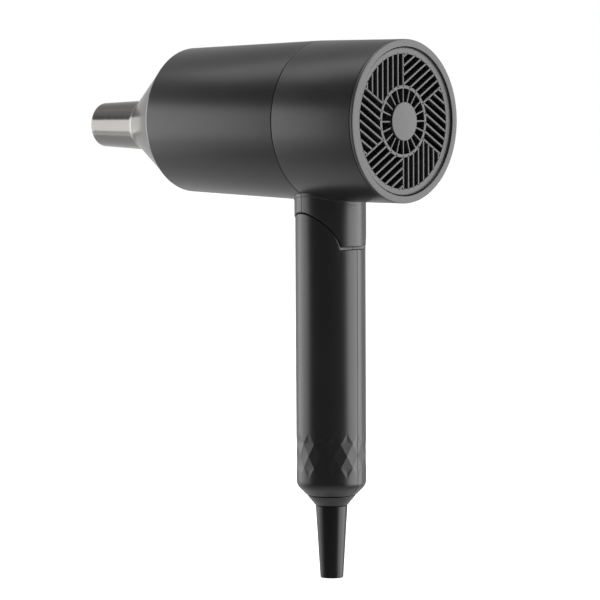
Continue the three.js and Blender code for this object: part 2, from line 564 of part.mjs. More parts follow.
// ---------------------------------------------------------------- concentrator nozzle
function addNozzle() {
  const collarOuter = MOUTH_RADIUS - MOUTH_LIP - FIT;
  const collarInner = collarOuter - 2.5;
  addPart('nozzle_collar', revolve('x', [
    [collarInner, SEAT_X - FIT], [collarOuter, SEAT_X - FIT], [collarOuter, MOUTH_X + 0.3],
    [collarInner, MOUTH_X + 0.3],
  ]), 'glossBlack');

  const tubeRadius = (x) => TIP_RADIUS + TUBE_DRAFT * (x - TIP_X);
  const coneRadius = (x) => CONE_RADIUS + CONE_SLOPE * (x - CONE_X);
  const base = MOUTH_X - FIT;
  const spigot = collarInner - FIT;
  const blendIn = CORNER_X + CORNER_BLEND;
  const blendOut = CORNER_X - CORNER_BLEND;
  const lip = 0.5;
  const outer = [
    [CONE_RADIUS, base], [CONE_RADIUS, CONE_X + 0.6], [CONE_RADIUS - 0.5, CONE_X],
    ...bend([coneRadius(blendIn), blendIn], [tubeRadius(CORNER_X), CORNER_X],
      [tubeRadius(blendOut), blendOut], 4),
    [tubeRadius(TIP_X + lip), TIP_X + lip], [TIP_RADIUS - lip, TIP_X],
  ];
  const inner = [
    [TIP_RADIUS - NOZZLE_WALL, TIP_X], [TIP_RADIUS - NOZZLE_WALL, TIP_X + lip],
    ...bend([tubeRadius(blendOut) - NOZZLE_WALL, blendOut],
      [tubeRadius(CORNER_X) - NOZZLE_WALL, CORNER_X],
      [coneRadius(blendIn) - NOZZLE_WALL - 0.3, blendIn], 4),
    [spigot - 1.5, base - 4], [spigot - 1.5, base + 4], [spigot, base + 4], [spigot, base],
  ];
  const points = [...outer, ...inner].map(([radius, x]) => new THREE.Vector2(radius, x));
  if (THREE.ShapeUtils.area(points) < 0) points.reverse();
  points.push(points[0].clone());
  const geometry = new THREE.LatheGeometry(points, 32);
  geometry.applyMatrix4(TURN.x);
  // The tube lies below the cone's axis: the sections slide down smoothly through the blend.
  const places = geometry.getAttribute('position');
  for (let i = 0; i < places.count; i += 1) {
    const slide = THREE.MathUtils.smoothstep(-places.getX(i), -blendIn - DROP_REACH, -blendOut);
    places.setZ(i, places.getZ(i) - TUBE_DROP * slide);
  }
  addPart('concentrator', toSolid(geometry), 'darkChrome');
}

// ---------------------------------------------------------------- fold hinge
function addHinge() {
  const plugRadius = NECK_RADIUS - NECK_WALL - FIT;
  const ductBottom = -(DUCT_RADIUS + 0.6);
  const floorRadius = barrelRadius(HANDLE_X - NECK_RADIUS) - SHELL_WALL - FIT;
  const barrelFloor = rod('x', floorRadius, MOUTH_X, 0, [0, 0, 0], BARREL_SEGMENTS);
  const flange = rod('z', plugRadius + 1.8, -SEAM_RADIUS, ductBottom, HANDLE_AXIS, 32)
    .intersect(barrelFloor);
  const plug = rod('z', plugRadius, PIVOT_Z + 12.8, ductBottom, HANDLE_AXIS, 32);
  const seat = rod('y', EAR_RADIUS + EAR_GAP, -BEYOND, BEYOND, PIVOT, PIVOT_SEGMENTS);
  const boss = rod('y', TONGUE_RADIUS, -TONGUE_HALF, TONGUE_HALF, PIVOT, 32);
  const web = box([PIVOT_X - TONGUE_RADIUS, -TONGUE_HALF, PIVOT_Z],
    [PIVOT_X + TONGUE_RADIUS, TONGUE_HALF, PIVOT_Z + EAR_RADIUS + 2]);
  const pinBore = rod('y', PIN_RADIUS + FIT, -TONGUE_HALF - 1, TONGUE_HALF + 1, PIVOT, 20);
  addPart('hinge_knuckle', cut(join(cut(join(plug, flange), seat), boss, web), pinBore), 'duct');
  addPart('hinge_pin', rod('y', PIN_RADIUS, -PIN_HALF_LENGTH, PIN_HALF_LENGTH, PIVOT, 20), 'steel');
  const inner = TONGUE_HALF + FIT;
  const outer = inner + WASHER_THICKNESS;
  const ring = [PIN_RADIUS + FIT, TONGUE_RADIUS];
  addPart('hinge_washer_left', tube('y', ...ring, -outer, -inner, PIVOT, 16), 'steel');
  addPart('hinge_washer_right', tube('y', ...ring, inner, outer, PIVOT, 16), 'steel');
}

// ---------------------------------------------------------------- grip
/**
 * A closed solid from rings stacked along the grip's axis, lowest first. A ring is
 * { z, radius, sunk }: every second corner of a sunk ring lies deeper by FACET_DEPTH, and the
 * sides are split along the ridges between those corners, which makes the diamonds.
 */
function stackedRings(rings, corners) {
  const places = [];
  const faces = [];
  const at = (ring, corner) => ring * corners + (corner % corners);
  rings.forEach(({ z, radius, sunk }, ring) => {
    for (let corner = 0; corner < corners; corner += 1) {
      const deep = sunk && (ring + corner) % 2 === 1 ? FACET_DEPTH : 0;
      const angle = (2 * Math.PI * corner) / corners;
      places.push(HANDLE_X + (radius - deep) * Math.cos(angle), (radius - deep) * Math.sin(angle), z);
    }
  });
  for (let ring = 0; ring < rings.length - 1; ring += 1) {
    for (let corner = 0; corner < corners; corner += 1) {
      const [a, b] = [at(ring, corner), at(ring, corner + 1)];
      const [c, d] = [at(ring + 1, corner + 1), at(ring + 1, corner)];
      if ((ring + corner) % 2 === 0) faces.push(a, b, c, a, c, d);
      else faces.push(a, b, d, b, c, d);
    }
  }
  const top = rings.length - 1;
  const bottomCentre = places.length / 3;
  places.push(HANDLE_X, 0, rings[0].z, HANDLE_X, 0, rings[top].z);
  for (let corner = 0; corner < corners; corner += 1) {
    faces.push(bottomCentre, at(0, corner + 1), at(0, corner));
    faces.push(bottomCentre + 1, at(top, corner), at(top, corner + 1));
  }
  const geometry = new THREE.BufferGeometry();
  geometry.setAttribute('position', new THREE.Float32BufferAttribute(places, 3));
  geometry.setIndex(faces);
  return toSolid(geometry);
}

/** Outer form of the grip: plain above, diamond facets below, a slanted lower edge. */
function gripForm() {
  const rings = [
    { z: GRIP_END_Z, radius: GRIP_RADIUS - CHAMFER },
    { z: GRIP_END_Z + CHAMFER * 0.8, radius: GRIP_RADIUS - CHAMFER * 0.2 },
    { z: GRIP_END_Z + CHAMFER * 1.15, radius: GRIP_RADIUS - CHAMFER * 0.03 },
  ];
  // Ring numbers and facet rows keep step, so the row over the lowest tips is an odd one.
  rings.push({ z: GRIP_END_Z + CHAMFER * 1.2, radius: GRIP_RADIUS });
  const lowest = GRIP_END_Z + FACET_LIFT;
  for (let row = 0; row <= FACET_ROWS + 1; row += 1) {
    const sunk = row > 0 && row <= FACET_ROWS;
    rings.push({ z: lowest + row * FACET_HALF_HEIGHT, radius: GRIP_RADIUS, sunk });
  }
  rings.push({ z: PIVOT_Z + EAR_RADIUS + 1, radius: GRIP_RADIUS });
  return stackedRings(rings, 2 * FACETS_AROUND);
}

const SCREW_X = HANDLE_X + 6;
const CLAMP_DROP = 98.2;         // hinge axis to the cord clamp's middle
const CLAMP_POSTS = [-6.5, 6.5];
const CLAMP_BACK = 4.6;          // how far the clamp's back lies from the middle plane
const CLAMP_THICKNESS = 3;

function addGrip() {
  const form = gripForm();
  const slotReach = TONGUE_RADIUS + FIT;
  const slotHalf = TONGUE_HALF + WASHER_THICKNESS + 2 * FIT;
  const slotFloor = PIVOT_Z - slotReach;
  const cavityTop = slotFloor - GRIP_WALL;
  const ears = rod('y', EAR_RADIUS, -BEYOND, BEYOND, PIVOT, PIVOT_SEGMENTS);
  const ledge = PIVOT_Z + LEDGE_RISE;
  const below = box([-BEYOND, -BEYOND, -2 * BEYOND], [BEYOND, BEYOND, ledge]);
  const slot = box([PIVOT_X - BEYOND, -slotHalf, slotFloor], [PIVOT_X + slotReach, slotHalf, 0]);
  const wireWay = box([HANDLE_X - 3, -TONGUE_HALF, cavityTop - 1],
    [HANDLE_X + 3, TONGUE_HALF, slotFloor + 1]);
  const cavity = rod('z', CAVITY_RADIUS, FLOOR_Z, cavityTop, HANDLE_AXIS, 24);
  const outlet = rod('z', COLLAR_RADIUS - 2.4, GRIP_END_Z - 1, FLOOR_Z + 1, HANDLE_AXIS, 24);
  const pinBore = rod('y', PIN_RADIUS + FIT, -PIN_HALF_LENGTH - FIT, PIN_HALF_LENGTH + FIT, PIVOT, 20);
  const window = box(
    [HANDLE_X - GRIP_RADIUS - 1, -PLATE_HALF_WIDTH - FIT, PIVOT_Z - PLATE_BOTTOM - FIT],
    [HANDLE_X - CAVITY_RADIUS + 5, PLATE_HALF_WIDTH + FIT, PIVOT_Z - PLATE_TOP + FIT]);
  const shell = cut(form.intersect(join(ears, below)), slot, wireWay, cavity, outlet, pinBore, window);

  // Screw bosses meet at the middle plane; ribs stand behind the switch board; posts carry the clamp.
  const bossRadius = SCREW_HEAD_RADIUS + FIT + 1.4;
  const bosses = GRIP_SCREW_DROPS.map((drop) => (
    rod('y', bossRadius, -GRIP_RADIUS, GRIP_RADIUS, [SCREW_X, 0, PIVOT_Z - drop], 12)));
  const ribX = BOARD_X + BOARD_SHEET / 2 + FIT;
  const ribReach = CAVITY_RADIUS - 4;
  const ribs = [[-GRIP_RADIUS, -ribReach], [ribReach, GRIP_RADIUS]].flatMap(([low, high]) => (
    [PLATE_TOP + 4, PLATE_BOTTOM - 4].map((drop) => (
      box([ribX, low, PIVOT_Z - drop - 1], [ribX + 1.6, high, PIVOT_Z - drop + 1])))));
  const posts = CLAMP_POSTS.map((offset) => (
    rod('y', 2.8, CLAMP_BACK + FIT, GRIP_RADIUS, [HANDLE_X + offset, 0, PIVOT_Z - CLAMP_DROP], 12)));
  const filled = join(shell, ...[...bosses, ...ribs, ...posts].map((solid) => solid.intersect(form)));

  const screwHoles = GRIP_SCREW_DROPS.flatMap((drop) => {
    const centre = [SCREW_X, 0, PIVOT_Z - drop];
    return [
      rod('y', SCREW_RADIUS + FIT, -CAVITY_RADIUS * 0.6, BEYOND, centre, 12),
      rod('y', SCREW_HEAD_RADIUS + FIT, CAVITY_RADIUS * 0.3, BEYOND, centre, 12),
    ];
  });
  const postHoles = CLAMP_POSTS.map((offset) => (
    rod('y', SCREW_RADIUS + FIT, 0, CLAMP_BACK + 8, [HANDLE_X + offset, 0, PIVOT_Z - CLAMP_DROP], 12)));
  const drilled = cut(filled, ...screwHoles, ...postHoles);
  const leftSide = box([-BEYOND, -BEYOND, -2 * BEYOND], [BEYOND, -SEAM / 2, BEYOND]);
  const rightSide = box([-BEYOND, SEAM / 2, -2 * BEYOND], [BEYOND, BEYOND, BEYOND]);
  addPart('handle_left', drilled.intersect(leftSide), 'satinBlack');
  addPart('handle_right', drilled.intersect(rightSide), 'satinBlack');

  GRIP_SCREW_DROPS.forEach((drop, i) => {
    const seatY = CAVITY_RADIUS * 0.3;
    addPart(`handle_screw_${i + 1}`, screw(SCREW_X, seatY + FIT + SCREW_HEAD_HEIGHT, PIVOT_Z - drop,
      seatY + SCREW_HEAD_HEIGHT + CAVITY_RADIUS * 0.55, -1), 'steel');
  });
}

// ---------------------------------------------------------------- cord outlet
function addCordOutlet() {
  const neckRadius = CORD_BORE_RADIUS + 2.2;
  const collarBore = neckRadius + FIT;
  const spigot = COLLAR_RADIUS - 2.4 - FIT;
  const flangeZ = FLOOR_Z + FIT;
  const flangeTop = flangeZ + 1.8;
  addPart('cord_collar', revolve('z', [
    [collarBore, COLLAR_END_Z], [RELIEF_TOP_RADIUS + 0.2, COLLAR_END_Z], [COLLAR_RADIUS, COLLAR_TOP_Z],
    [spigot, COLLAR_TOP_Z], [spigot, flangeZ], [COLLAR_RADIUS - 0.6, flangeZ],
    [COLLAR_RADIUS - 0.6, flangeTop], [collarBore, flangeTop],
  ], 28, HANDLE_AXIS), 'satinBlack');

  const shoulder = flangeTop + FIT;
  addPart('strain_relief', revolve('z', [
    [CORD_BORE_RADIUS, RELIEF_END_Z], [RELIEF_END_RADIUS - 0.6, RELIEF_END_Z],
    [RELIEF_END_RADIUS, RELIEF_END_Z + 0.6], [RELIEF_TOP_RADIUS, RELIEF_TOP_Z],
    [neckRadius, RELIEF_TOP_Z], [neckRadius, shoulder], [neckRadius + 2.6, shoulder],
    [neckRadius + 2.6, shoulder + 2], [CORD_BORE_RADIUS, shoulder + 2],
  ], 24, HANDLE_AXIS), 'glossBlack');

  const clampZ = PIVOT_Z - CLAMP_DROP;
  const halfLength = CLAMP_POSTS[1] + 3;
  const clampHoles = CLAMP_POSTS.map((offset) => (
    rod('y', SCREW_RADIUS + FIT, 0, CLAMP_BACK + 1, [HANDLE_X + offset, 0, clampZ], 12)));
  const saddle = rod('z', CORD_BORE_RADIUS - 0.4, clampZ - 5, clampZ + 5,
    [HANDLE_X, CLAMP_BACK - CLAMP_THICKNESS - 1, 0], 16);
  const bar = box([HANDLE_X - halfLength, CLAMP_BACK - CLAMP_THICKNESS, clampZ - 3.5],
    [HANDLE_X + halfLength, CLAMP_BACK, clampZ + 3.5]);
  addPart('cord_clamp', cut(bar, saddle, ...clampHoles), 'switchBody');
  CLAMP_POSTS.forEach((offset, i) => {
    const headY = CLAMP_BACK - CLAMP_THICKNESS - FIT - SCREW_HEAD_HEIGHT;
    addPart(`clamp_screw_${i + 1}`, screw(HANDLE_X + offset, headY, clampZ, CLAMP_THICKNESS + 7.5, 1),
      'steel');
  });
}

// ---------------------------------------------------------------- switches
function addSwitches() {
  const plateTop = PIVOT_Z - PLATE_TOP;
  const plateBottom = PIVOT_Z - PLATE_BOTTOM;
  const buttonZ = PIVOT_Z - BUTTON_DROP;
  const flangeOuter = CAVITY_RADIUS - FIT;
  const flangeInner = flangeOuter - 1.4;
  const stemHalfWidth = 1.2;
  const stemHalfHeight = 1.8;
  const sliders = [['heat', HEAT_DROP], ['speed', SPEED_DROP]];

  const pad = tube('z', flangeInner, GRIP_RADIUS, plateBottom, plateTop, HANDLE_AXIS, 48)
    .intersect(box([HANDLE_X - GRIP_RADIUS - 1, -PLATE_HALF_WIDTH, plateBottom],
      [HANDLE_X, PLATE_HALF_WIDTH, plateTop]));
  const flange = tube('z', flangeInner, flangeOuter, plateBottom - 2, plateTop + 2, HANDLE_AXIS, 48)
    .intersect(box([HANDLE_X - GRIP_RADIUS - 1, -PLATE_HALF_WIDTH - 2, plateBottom - 2],
      [HANDLE_X, PLATE_HALF_WIDTH + 2, plateTop + 2]));
  const windows = sliders.map(([, drop]) => box(
    [HANDLE_X - GRIP_RADIUS - 1, -stemHalfWidth - FIT, PIVOT_Z - drop - stemHalfHeight - FIT],
    [HANDLE_X, stemHalfWidth + FIT, PIVOT_Z - drop + SLIDER_TRAVEL + stemHalfHeight + FIT]));
  const buttonHole = rod('x', BUTTON_RADIUS + FIT, HANDLE_X - GRIP_RADIUS - 1, HANDLE_X,
    [0, 0, buttonZ], 28);
  addPart('switch_plate', cut(join(pad, flange), ...windows, buttonHole), 'glossBlack');

  const boardHalf = Math.sqrt(CAVITY_RADIUS ** 2 - (BOARD_SETBACK + BOARD_SHEET / 2) ** 2) - 0.5;
  addPart('switch_board', box([BOARD_X - BOARD_SHEET / 2, -boardHalf, plateBottom - 3],
    [BOARD_X + BOARD_SHEET / 2, boardHalf, plateTop + 1.5]), 'board');
  const bodyBack = BOARD_X - BOARD_SHEET / 2 - FIT;

  sliders.forEach(([name, drop]) => {
    const rest = PIVOT_Z - drop;
    const middle = rest + SLIDER_TRAVEL / 2;
    addPart(`${name}_switch_body`, box([SWITCH_FRONT_X, -4, middle - 6.5], [bodyBack, 4, middle + 6.5]),
      'switchBody');
    const surface = HANDLE_X - GRIP_RADIUS - FIT;
    const knobHalf = PLATE_HALF_WIDTH - 2.6;
    const knob = box([surface - SLIDER_PROUD, -knobHalf, rest - SLIDER_HALF_HEIGHT],
      [surface, knobHalf, rest + SLIDER_HALF_HEIGHT]);
    const stem = box([surface - 0.5, -stemHalfWidth, rest - stemHalfHeight],
      [SWITCH_FRONT_X - FIT, stemHalfWidth, rest + stemHalfHeight]);
    const ridges = [-2, 0, 2].map((offset) => box(
      [surface - SLIDER_PROUD - 0.5, -knobHalf + 0.6, rest + offset - 0.35],
      [surface - SLIDER_PROUD + 0.2, knobHalf - 0.6, rest + offset + 0.35]));
    addPart(`${name}_slider`, join(knob, stem, ...ridges), 'grilleBlack');
  });

  const flangeX = HANDLE_X - flangeInner + 1.5;
  const face = HANDLE_X - GRIP_RADIUS - BUTTON_PROUD;
  addPart('cool_button', revolve('x', [
    [0, face], [BUTTON_RADIUS - 0.7, face], [BUTTON_RADIUS, face + 0.7], [BUTTON_RADIUS, flangeX],
    [BUTTON_RADIUS + 1, flangeX], [BUTTON_RADIUS + 1, flangeX + 1], [0, flangeX + 1],
  ], 28, [0, 0, buttonZ]), 'grilleBlack');
  const coolFront = bodyBack - 2.5;
  addPart('cool_switch_body', box([coolFront, -3.5, buttonZ - 3.5], [bodyBack, 3.5, buttonZ + 3.5]),
    'switchBody');
  const springEnds = [flangeX + 1 + FIT + 0.3, coolFront - FIT - 0.3];
  const springTurns = 2.5;
  addPart('cool_button_spring', helixAlongX(2.6, 0.3, springEnds[1],
    (springEnds[1] - springEnds[0]) / springTurns, springTurns, [0, 0, buttonZ], 5, 10), 'steel');
}

addBarrelShells();
addRearEnd();
addFanAndMotor();
addHeater();
addNozzle();
addHinge();
addGrip();
addCordOutlet();
addSwitches();

dryer.position.set(-TIP_X / 2, 0, -RELIEF_END_Z);

export default dryer;
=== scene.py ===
"""A folding hair dryer with a pinwheel intake grille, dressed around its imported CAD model.

Everything is in metres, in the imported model's own frame: +Z is up, the nozzle points along -X and
the air intake faces +X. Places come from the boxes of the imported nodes. Sizes that only the looks
need are dataclass fields of the sub-assembly that uses them.
"""

import json
import logging
import math
from collections.abc import Callable, Sequence
from dataclasses import dataclass
from enum import Enum
from functools import cache

import bmesh
import bpy
from mathutils import Matrix, Vector

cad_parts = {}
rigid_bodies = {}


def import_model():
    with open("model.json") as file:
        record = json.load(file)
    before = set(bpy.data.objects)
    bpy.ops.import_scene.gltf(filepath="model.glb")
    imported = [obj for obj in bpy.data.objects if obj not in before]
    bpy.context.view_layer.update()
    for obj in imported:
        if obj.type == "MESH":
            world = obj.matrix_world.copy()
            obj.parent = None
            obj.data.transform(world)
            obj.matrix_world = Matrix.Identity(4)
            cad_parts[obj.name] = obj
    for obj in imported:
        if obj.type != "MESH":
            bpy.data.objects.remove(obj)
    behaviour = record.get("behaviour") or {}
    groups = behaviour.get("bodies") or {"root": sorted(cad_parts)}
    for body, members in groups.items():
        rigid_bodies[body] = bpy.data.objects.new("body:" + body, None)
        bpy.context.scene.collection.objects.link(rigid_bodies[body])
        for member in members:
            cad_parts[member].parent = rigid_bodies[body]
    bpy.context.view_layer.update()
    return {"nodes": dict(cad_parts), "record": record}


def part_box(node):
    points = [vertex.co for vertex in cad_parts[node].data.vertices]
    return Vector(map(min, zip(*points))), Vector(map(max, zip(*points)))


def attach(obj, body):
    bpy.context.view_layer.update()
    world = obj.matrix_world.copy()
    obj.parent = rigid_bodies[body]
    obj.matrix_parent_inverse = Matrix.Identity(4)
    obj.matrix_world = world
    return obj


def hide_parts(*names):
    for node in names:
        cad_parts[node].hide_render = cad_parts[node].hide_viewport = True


for leftover in list(bpy.data.objects):
    bpy.data.objects.remove(leftover)
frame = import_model()

log = logging.getLogger("hair_dryer")

MM = 0.001
FIT = 0.3 * MM  # clearance between pieces that seat on each other
FINE_ROUND = 0.2 * MM  # rounding of edges that are hardly seen
PLAIN_ROUND = 0.3 * MM  # rounding of a turned piece's plain edges
SAME_PLACE = 1e-7  # distance under which two vertices are one
PACKED_SAME_PLACE = 2e-6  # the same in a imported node's mesh
FLAT_WITHIN = math.radians(1)  # turn under which two packed faces are one flat face
SOFT_EDGE = math.radians(32)  # turn from which an edge is kept sharp
BAR_EDGE = math.radians(50)  # the same on bars and blades
FACET_EDGE = math.radians(7)  # the same between the grip's facets
GRIP_SCREWS = ("handle_screw_1", "handle_screw_2", "handle_screw_3")
QUARTER_TURN = tuple(math.pi / 8 * k for k in range(5))
Point = tuple[float, float]
Corner = tuple[float, float, float]
Colour = tuple[float, float, float]


class Axis(Enum):
    """The direction that a turned shape is turned around."""

    X = 0
    Y = 1
    Z = 2


class Body(Enum):
    """The rigid bodies of the dryer that the pieces move with."""

    BARREL = "barrel"
    REAR_CAP = "rear_cap"
    FAN = "fan_rotor"
    NOZZLE_RING = "nozzle_ring"
    NOZZLE = "nozzle"
    GRIP = "grip"
    HEAT_KNOB = "heat_knob"
    SPEED_KNOB = "speed_knob"
    COOL_KEY = "cool_key"


@dataclass(frozen=True)
class Datum:
    """Places and radii that several sub-assemblies share.

    Attributes:
        axis_z: height of the barrel's axis.
        rim_x: place of the rear rim's face.
        rim_radius: outer radius of the rear rim.
        seam_x: middle of the parting line between the two barrel shells.
        mouth_x: front edge of the barrel.
        grip_x: place of the grip's axis.
        grip_radius: outer radius of the grip.
        grip_end_z: lower face of the grip.
        pivot: middle of the fold hinge's pin.
    """

    axis_z: float
    rim_x: float
    rim_radius: float
    seam_x: float
    mouth_x: float
    grip_x: float
    grip_radius: float
    grip_end_z: float
    pivot: Vector

    @classmethod
    def read(cls) -> "Datum":
        """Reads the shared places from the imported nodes' boxes."""
        bezel_low, bezel_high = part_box("rear_bezel")
        front_low, front_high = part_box("front_shell")
        collar_low, collar_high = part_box("cord_collar")
        grip_low, grip_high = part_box("handle_right")
        pin_low, pin_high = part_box("hinge_pin")
        return cls(
            axis_z=(bezel_low.z + bezel_high.z) / 2,
            rim_x=bezel_high.x,
            rim_radius=(bezel_high.z - bezel_low.z) / 2,
            seam_x=front_high.x + FIT / 2,
            mouth_x=front_low.x,
            grip_x=(collar_low.x + collar_high.x) / 2,
            grip_radius=grip_high.y,
            grip_end_z=grip_low.z,
            pivot=(pin_low + pin_high) / 2,
        )

    @property
    def barrel_centre(self) -> Vector:
        """A point on the barrel's axis."""
        return Vector((0, 0, self.axis_z))

    @property
    def grip_centre(self) -> Vector:
        """A point on the grip's axis."""
        return Vector((self.grip_x, 0, 0))


# ------------------------------------------------------------------------------ outlines and solids
def fillet(corners: Sequence[Corner], steps: int = 4) -> list[Point]:
    """Rounds the corners of a closed outline.

    Args:
        corners: each corner as (radius, place along the axis, size of its round).
        steps: pieces that a round is made of.

    Returns:
        The points of the rounded outline.
    """
    points: list[Point] = []
    for i, (radius, along, size) in enumerate(corners):
        here = Vector((radius, along))
        if size <= 0:
            points.append((radius, along))
            continue
        before = Vector(corners[i - 1][:2]) - here
        after = Vector(corners[(i + 1) % len(corners)][:2]) - here
        reach = min(size / math.tan(before.angle(after) / 2), before.length / 2, after.length / 2)
        start = here + before.normalized() * reach
        end = here + after.normalized() * reach
        for k in range(steps + 1):
            t = k / steps
            point = start.lerp(here, t).lerp(here.lerp(end, t), t)
            points.append((point.x, point.y))
    return points


def ring_outline(inner: float, outer: float, low: float, high: float, size: float) -> list[Point]:
    """Outline of a plain ring between two radii and two places, with its four edges rounded."""
    return fillet([(inner, low, size), (outer, low, size), (outer, high, size), (inner, high, size)])


def on_axis(axis: Axis, centre: Vector, radius: float, angle: float, along: float) -> Vector:
    """A point at a radius and an angle around an axis, at an absolute place along it."""
    side, up = radius * math.cos(angle), radius * math.sin(angle)
    if axis is Axis.X:
        return Vector((along, centre.y + side, centre.z + up))
    if axis is Axis.Y:
        return Vector((centre.x + side, along, centre.z + up))
    return Vector((centre.x + side, centre.y + up, along))


def solid_from_profiles(profiles: Sequence[Sequence[Vector]], around: bool) -> bmesh.types.BMesh:
    """Joins closed profiles with the same number of points into one closed solid.

    Args:
        profiles: the profiles, in order.
        around: whether the last profile joins the first, as in a full turn. Otherwise the first
            and the last profile are closed with a face.

    Returns:
        The solid, with its doubles merged and its faces outward.
    """
    bm = bmesh.new()
    rows = [[bm.verts.new(point) for point in profile] for profile in profiles]
    size = len(rows[0])
    for i in range(len(rows) if around else len(rows) - 1):
        here, there = rows[i], rows[(i + 1) % len(rows)]
        for j in range(size):
            k = (j + 1) % size
            bm.faces.new((here[j], here[k], there[k], there[j]))
    if not around:
        bm.faces.new(rows[0])
        bm.faces.new(rows[-1])
    return cleaned(bm)


def cleaned(bm: bmesh.types.BMesh) -> bmesh.types.BMesh:
    """Merges doubles, drops collapsed faces and turns the faces outward."""
    bmesh.ops.remove_doubles(bm, verts=bm.verts, dist=SAME_PLACE)
    bmesh.ops.dissolve_degenerate(bm, edges=bm.edges, dist=SAME_PLACE)
    bmesh.ops.recalc_face_normals(bm, faces=bm.faces)
    return bm


def lathe(outline: Sequence[Point], axis: Axis, centre: Vector, segments: int) -> bmesh.types.BMesh:
    """Turns a closed outline of (radius, absolute place along the axis) into a closed solid."""
    turns = [2 * math.pi * i / segments for i in range(segments)]
    profiles = [[on_axis(axis, centre, r, turn, along) for r, along in outline] for turn in turns]
    return solid_from_profiles(profiles, around=True)


def rod(
    radius: float, low: float, high: float, axis: Axis, centre: Vector, segments: int
) -> bmesh.types.BMesh:
    """A round cutter along an axis, from one absolute place to another."""
    return lathe([(0, low), (radius, low), (radius, high), (0, high)], axis, centre, segments)


def block(low: Vector, high: Vector) -> bmesh.types.BMesh:
    """A rectangular cutter between two corners."""
    bm = bmesh.new()
    size = high - low
    place = Matrix.Translation((low + high) / 2) @ Matrix.Diagonal((*size, 1))
    bmesh.ops.create_cube(bm, size=1, matrix=place)
    return bm


def merged(*parts: bmesh.types.BMesh) -> bmesh.types.BMesh:
    """Puts several solids into one mesh and frees the originals."""
    whole = bmesh.new()
    for part in parts:
        mesh = bpy.data.meshes.new("part")
        part.to_mesh(mesh)
        part.free()
        whole.from_mesh(mesh)
        bpy.data.meshes.remove(mesh)
    return whole


def shade(
    bm: bmesh.types.BMesh, sharp_from: Callable[[Vector], float] = lambda place: SOFT_EDGE
) -> None:
    """Smooths the faces and keeps the edges sharp where the faces turn by more than a limit.

    Args:
        bm: the mesh.
        sharp_from: the angle at which an edge is sharp, given the edge's middle.
    """
    for face in bm.faces:
        face.smooth = True
    for edge in bm.edges:
        middle = (edge.verts[0].co + edge.verts[1].co) / 2
        edge.smooth = len(edge.link_faces) == 2 and edge.calc_face_angle(0) < sharp_from(middle)


def to_object(bm: bmesh.types.BMesh, name: str) -> bpy.types.Object:
    """Makes an object at the origin from a mesh under construction, and frees it."""
    mesh = bpy.data.meshes.new(name)
    bm.to_mesh(mesh)
    bm.free()
    made = bpy.data.objects.new(name, mesh)
    bpy.context.scene.collection.objects.link(made)
    return made


def settle(piece: bpy.types.Object) -> None:
    """Replaces an object's mesh by its evaluated mesh and drops its modifiers."""
    bpy.context.view_layer.update()
    graph = bpy.context.evaluated_depsgraph_get()
    mesh = bpy.data.meshes.new_from_object(piece.evaluated_get(graph), depsgraph=graph)
    before = piece.data
    piece.modifiers.clear()
    piece.data = mesh
    bpy.data.meshes.remove(before)


def carve(solid: bmesh.types.BMesh, cutters: Sequence[bmesh.types.BMesh]) -> bmesh.types.BMesh:
    """Cuts solids away from a solid, one by one.

    Args:
        solid: the solid that is changed.
        cutters: the solids that are cut away.

    Returns:
        The solid that is left.
    """
    work = to_object(solid, "work")
    for cutter in cutters:
        tool = to_object(cutter, "cutter")
        boolean = work.modifiers.new("cut", "BOOLEAN")
        boolean.operation = "DIFFERENCE"
        boolean.solver = "EXACT"
        boolean.object = tool
        settle(work)
        bpy.data.objects.remove(tool)
    left = bmesh.new()
    left.from_mesh(work.data)
    bpy.data.objects.remove(work)
    return cleaned(left)


def refined(node: str, bevel: float) -> bmesh.types.BMesh:
    """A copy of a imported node's mesh, merged, with its flat faces joined and its edges rounded.

    Args:
        node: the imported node.
        bevel: width of the rounded edges, or 0 for none.

    Returns:
        The refined mesh.
    """
    bm = bmesh.new()
    bm.from_mesh(frame["nodes"][node].data)
    bmesh.ops.remove_doubles(bm, verts=bm.verts, dist=PACKED_SAME_PLACE)
    bmesh.ops.dissolve_limit(
        bm, angle_limit=FLAT_WITHIN, verts=bm.verts, edges=bm.edges, delimit={"NORMAL"}
    )
    if bevel > 0:
        edges = [e for e in bm.edges if e.calc_face_angle(0) > SOFT_EDGE]
        bmesh.ops.bevel(
            bm, geom=edges, offset=bevel, segments=2, affect="EDGES", profile=0.5, clamp_overlap=True
        )
    return cleaned(bm)


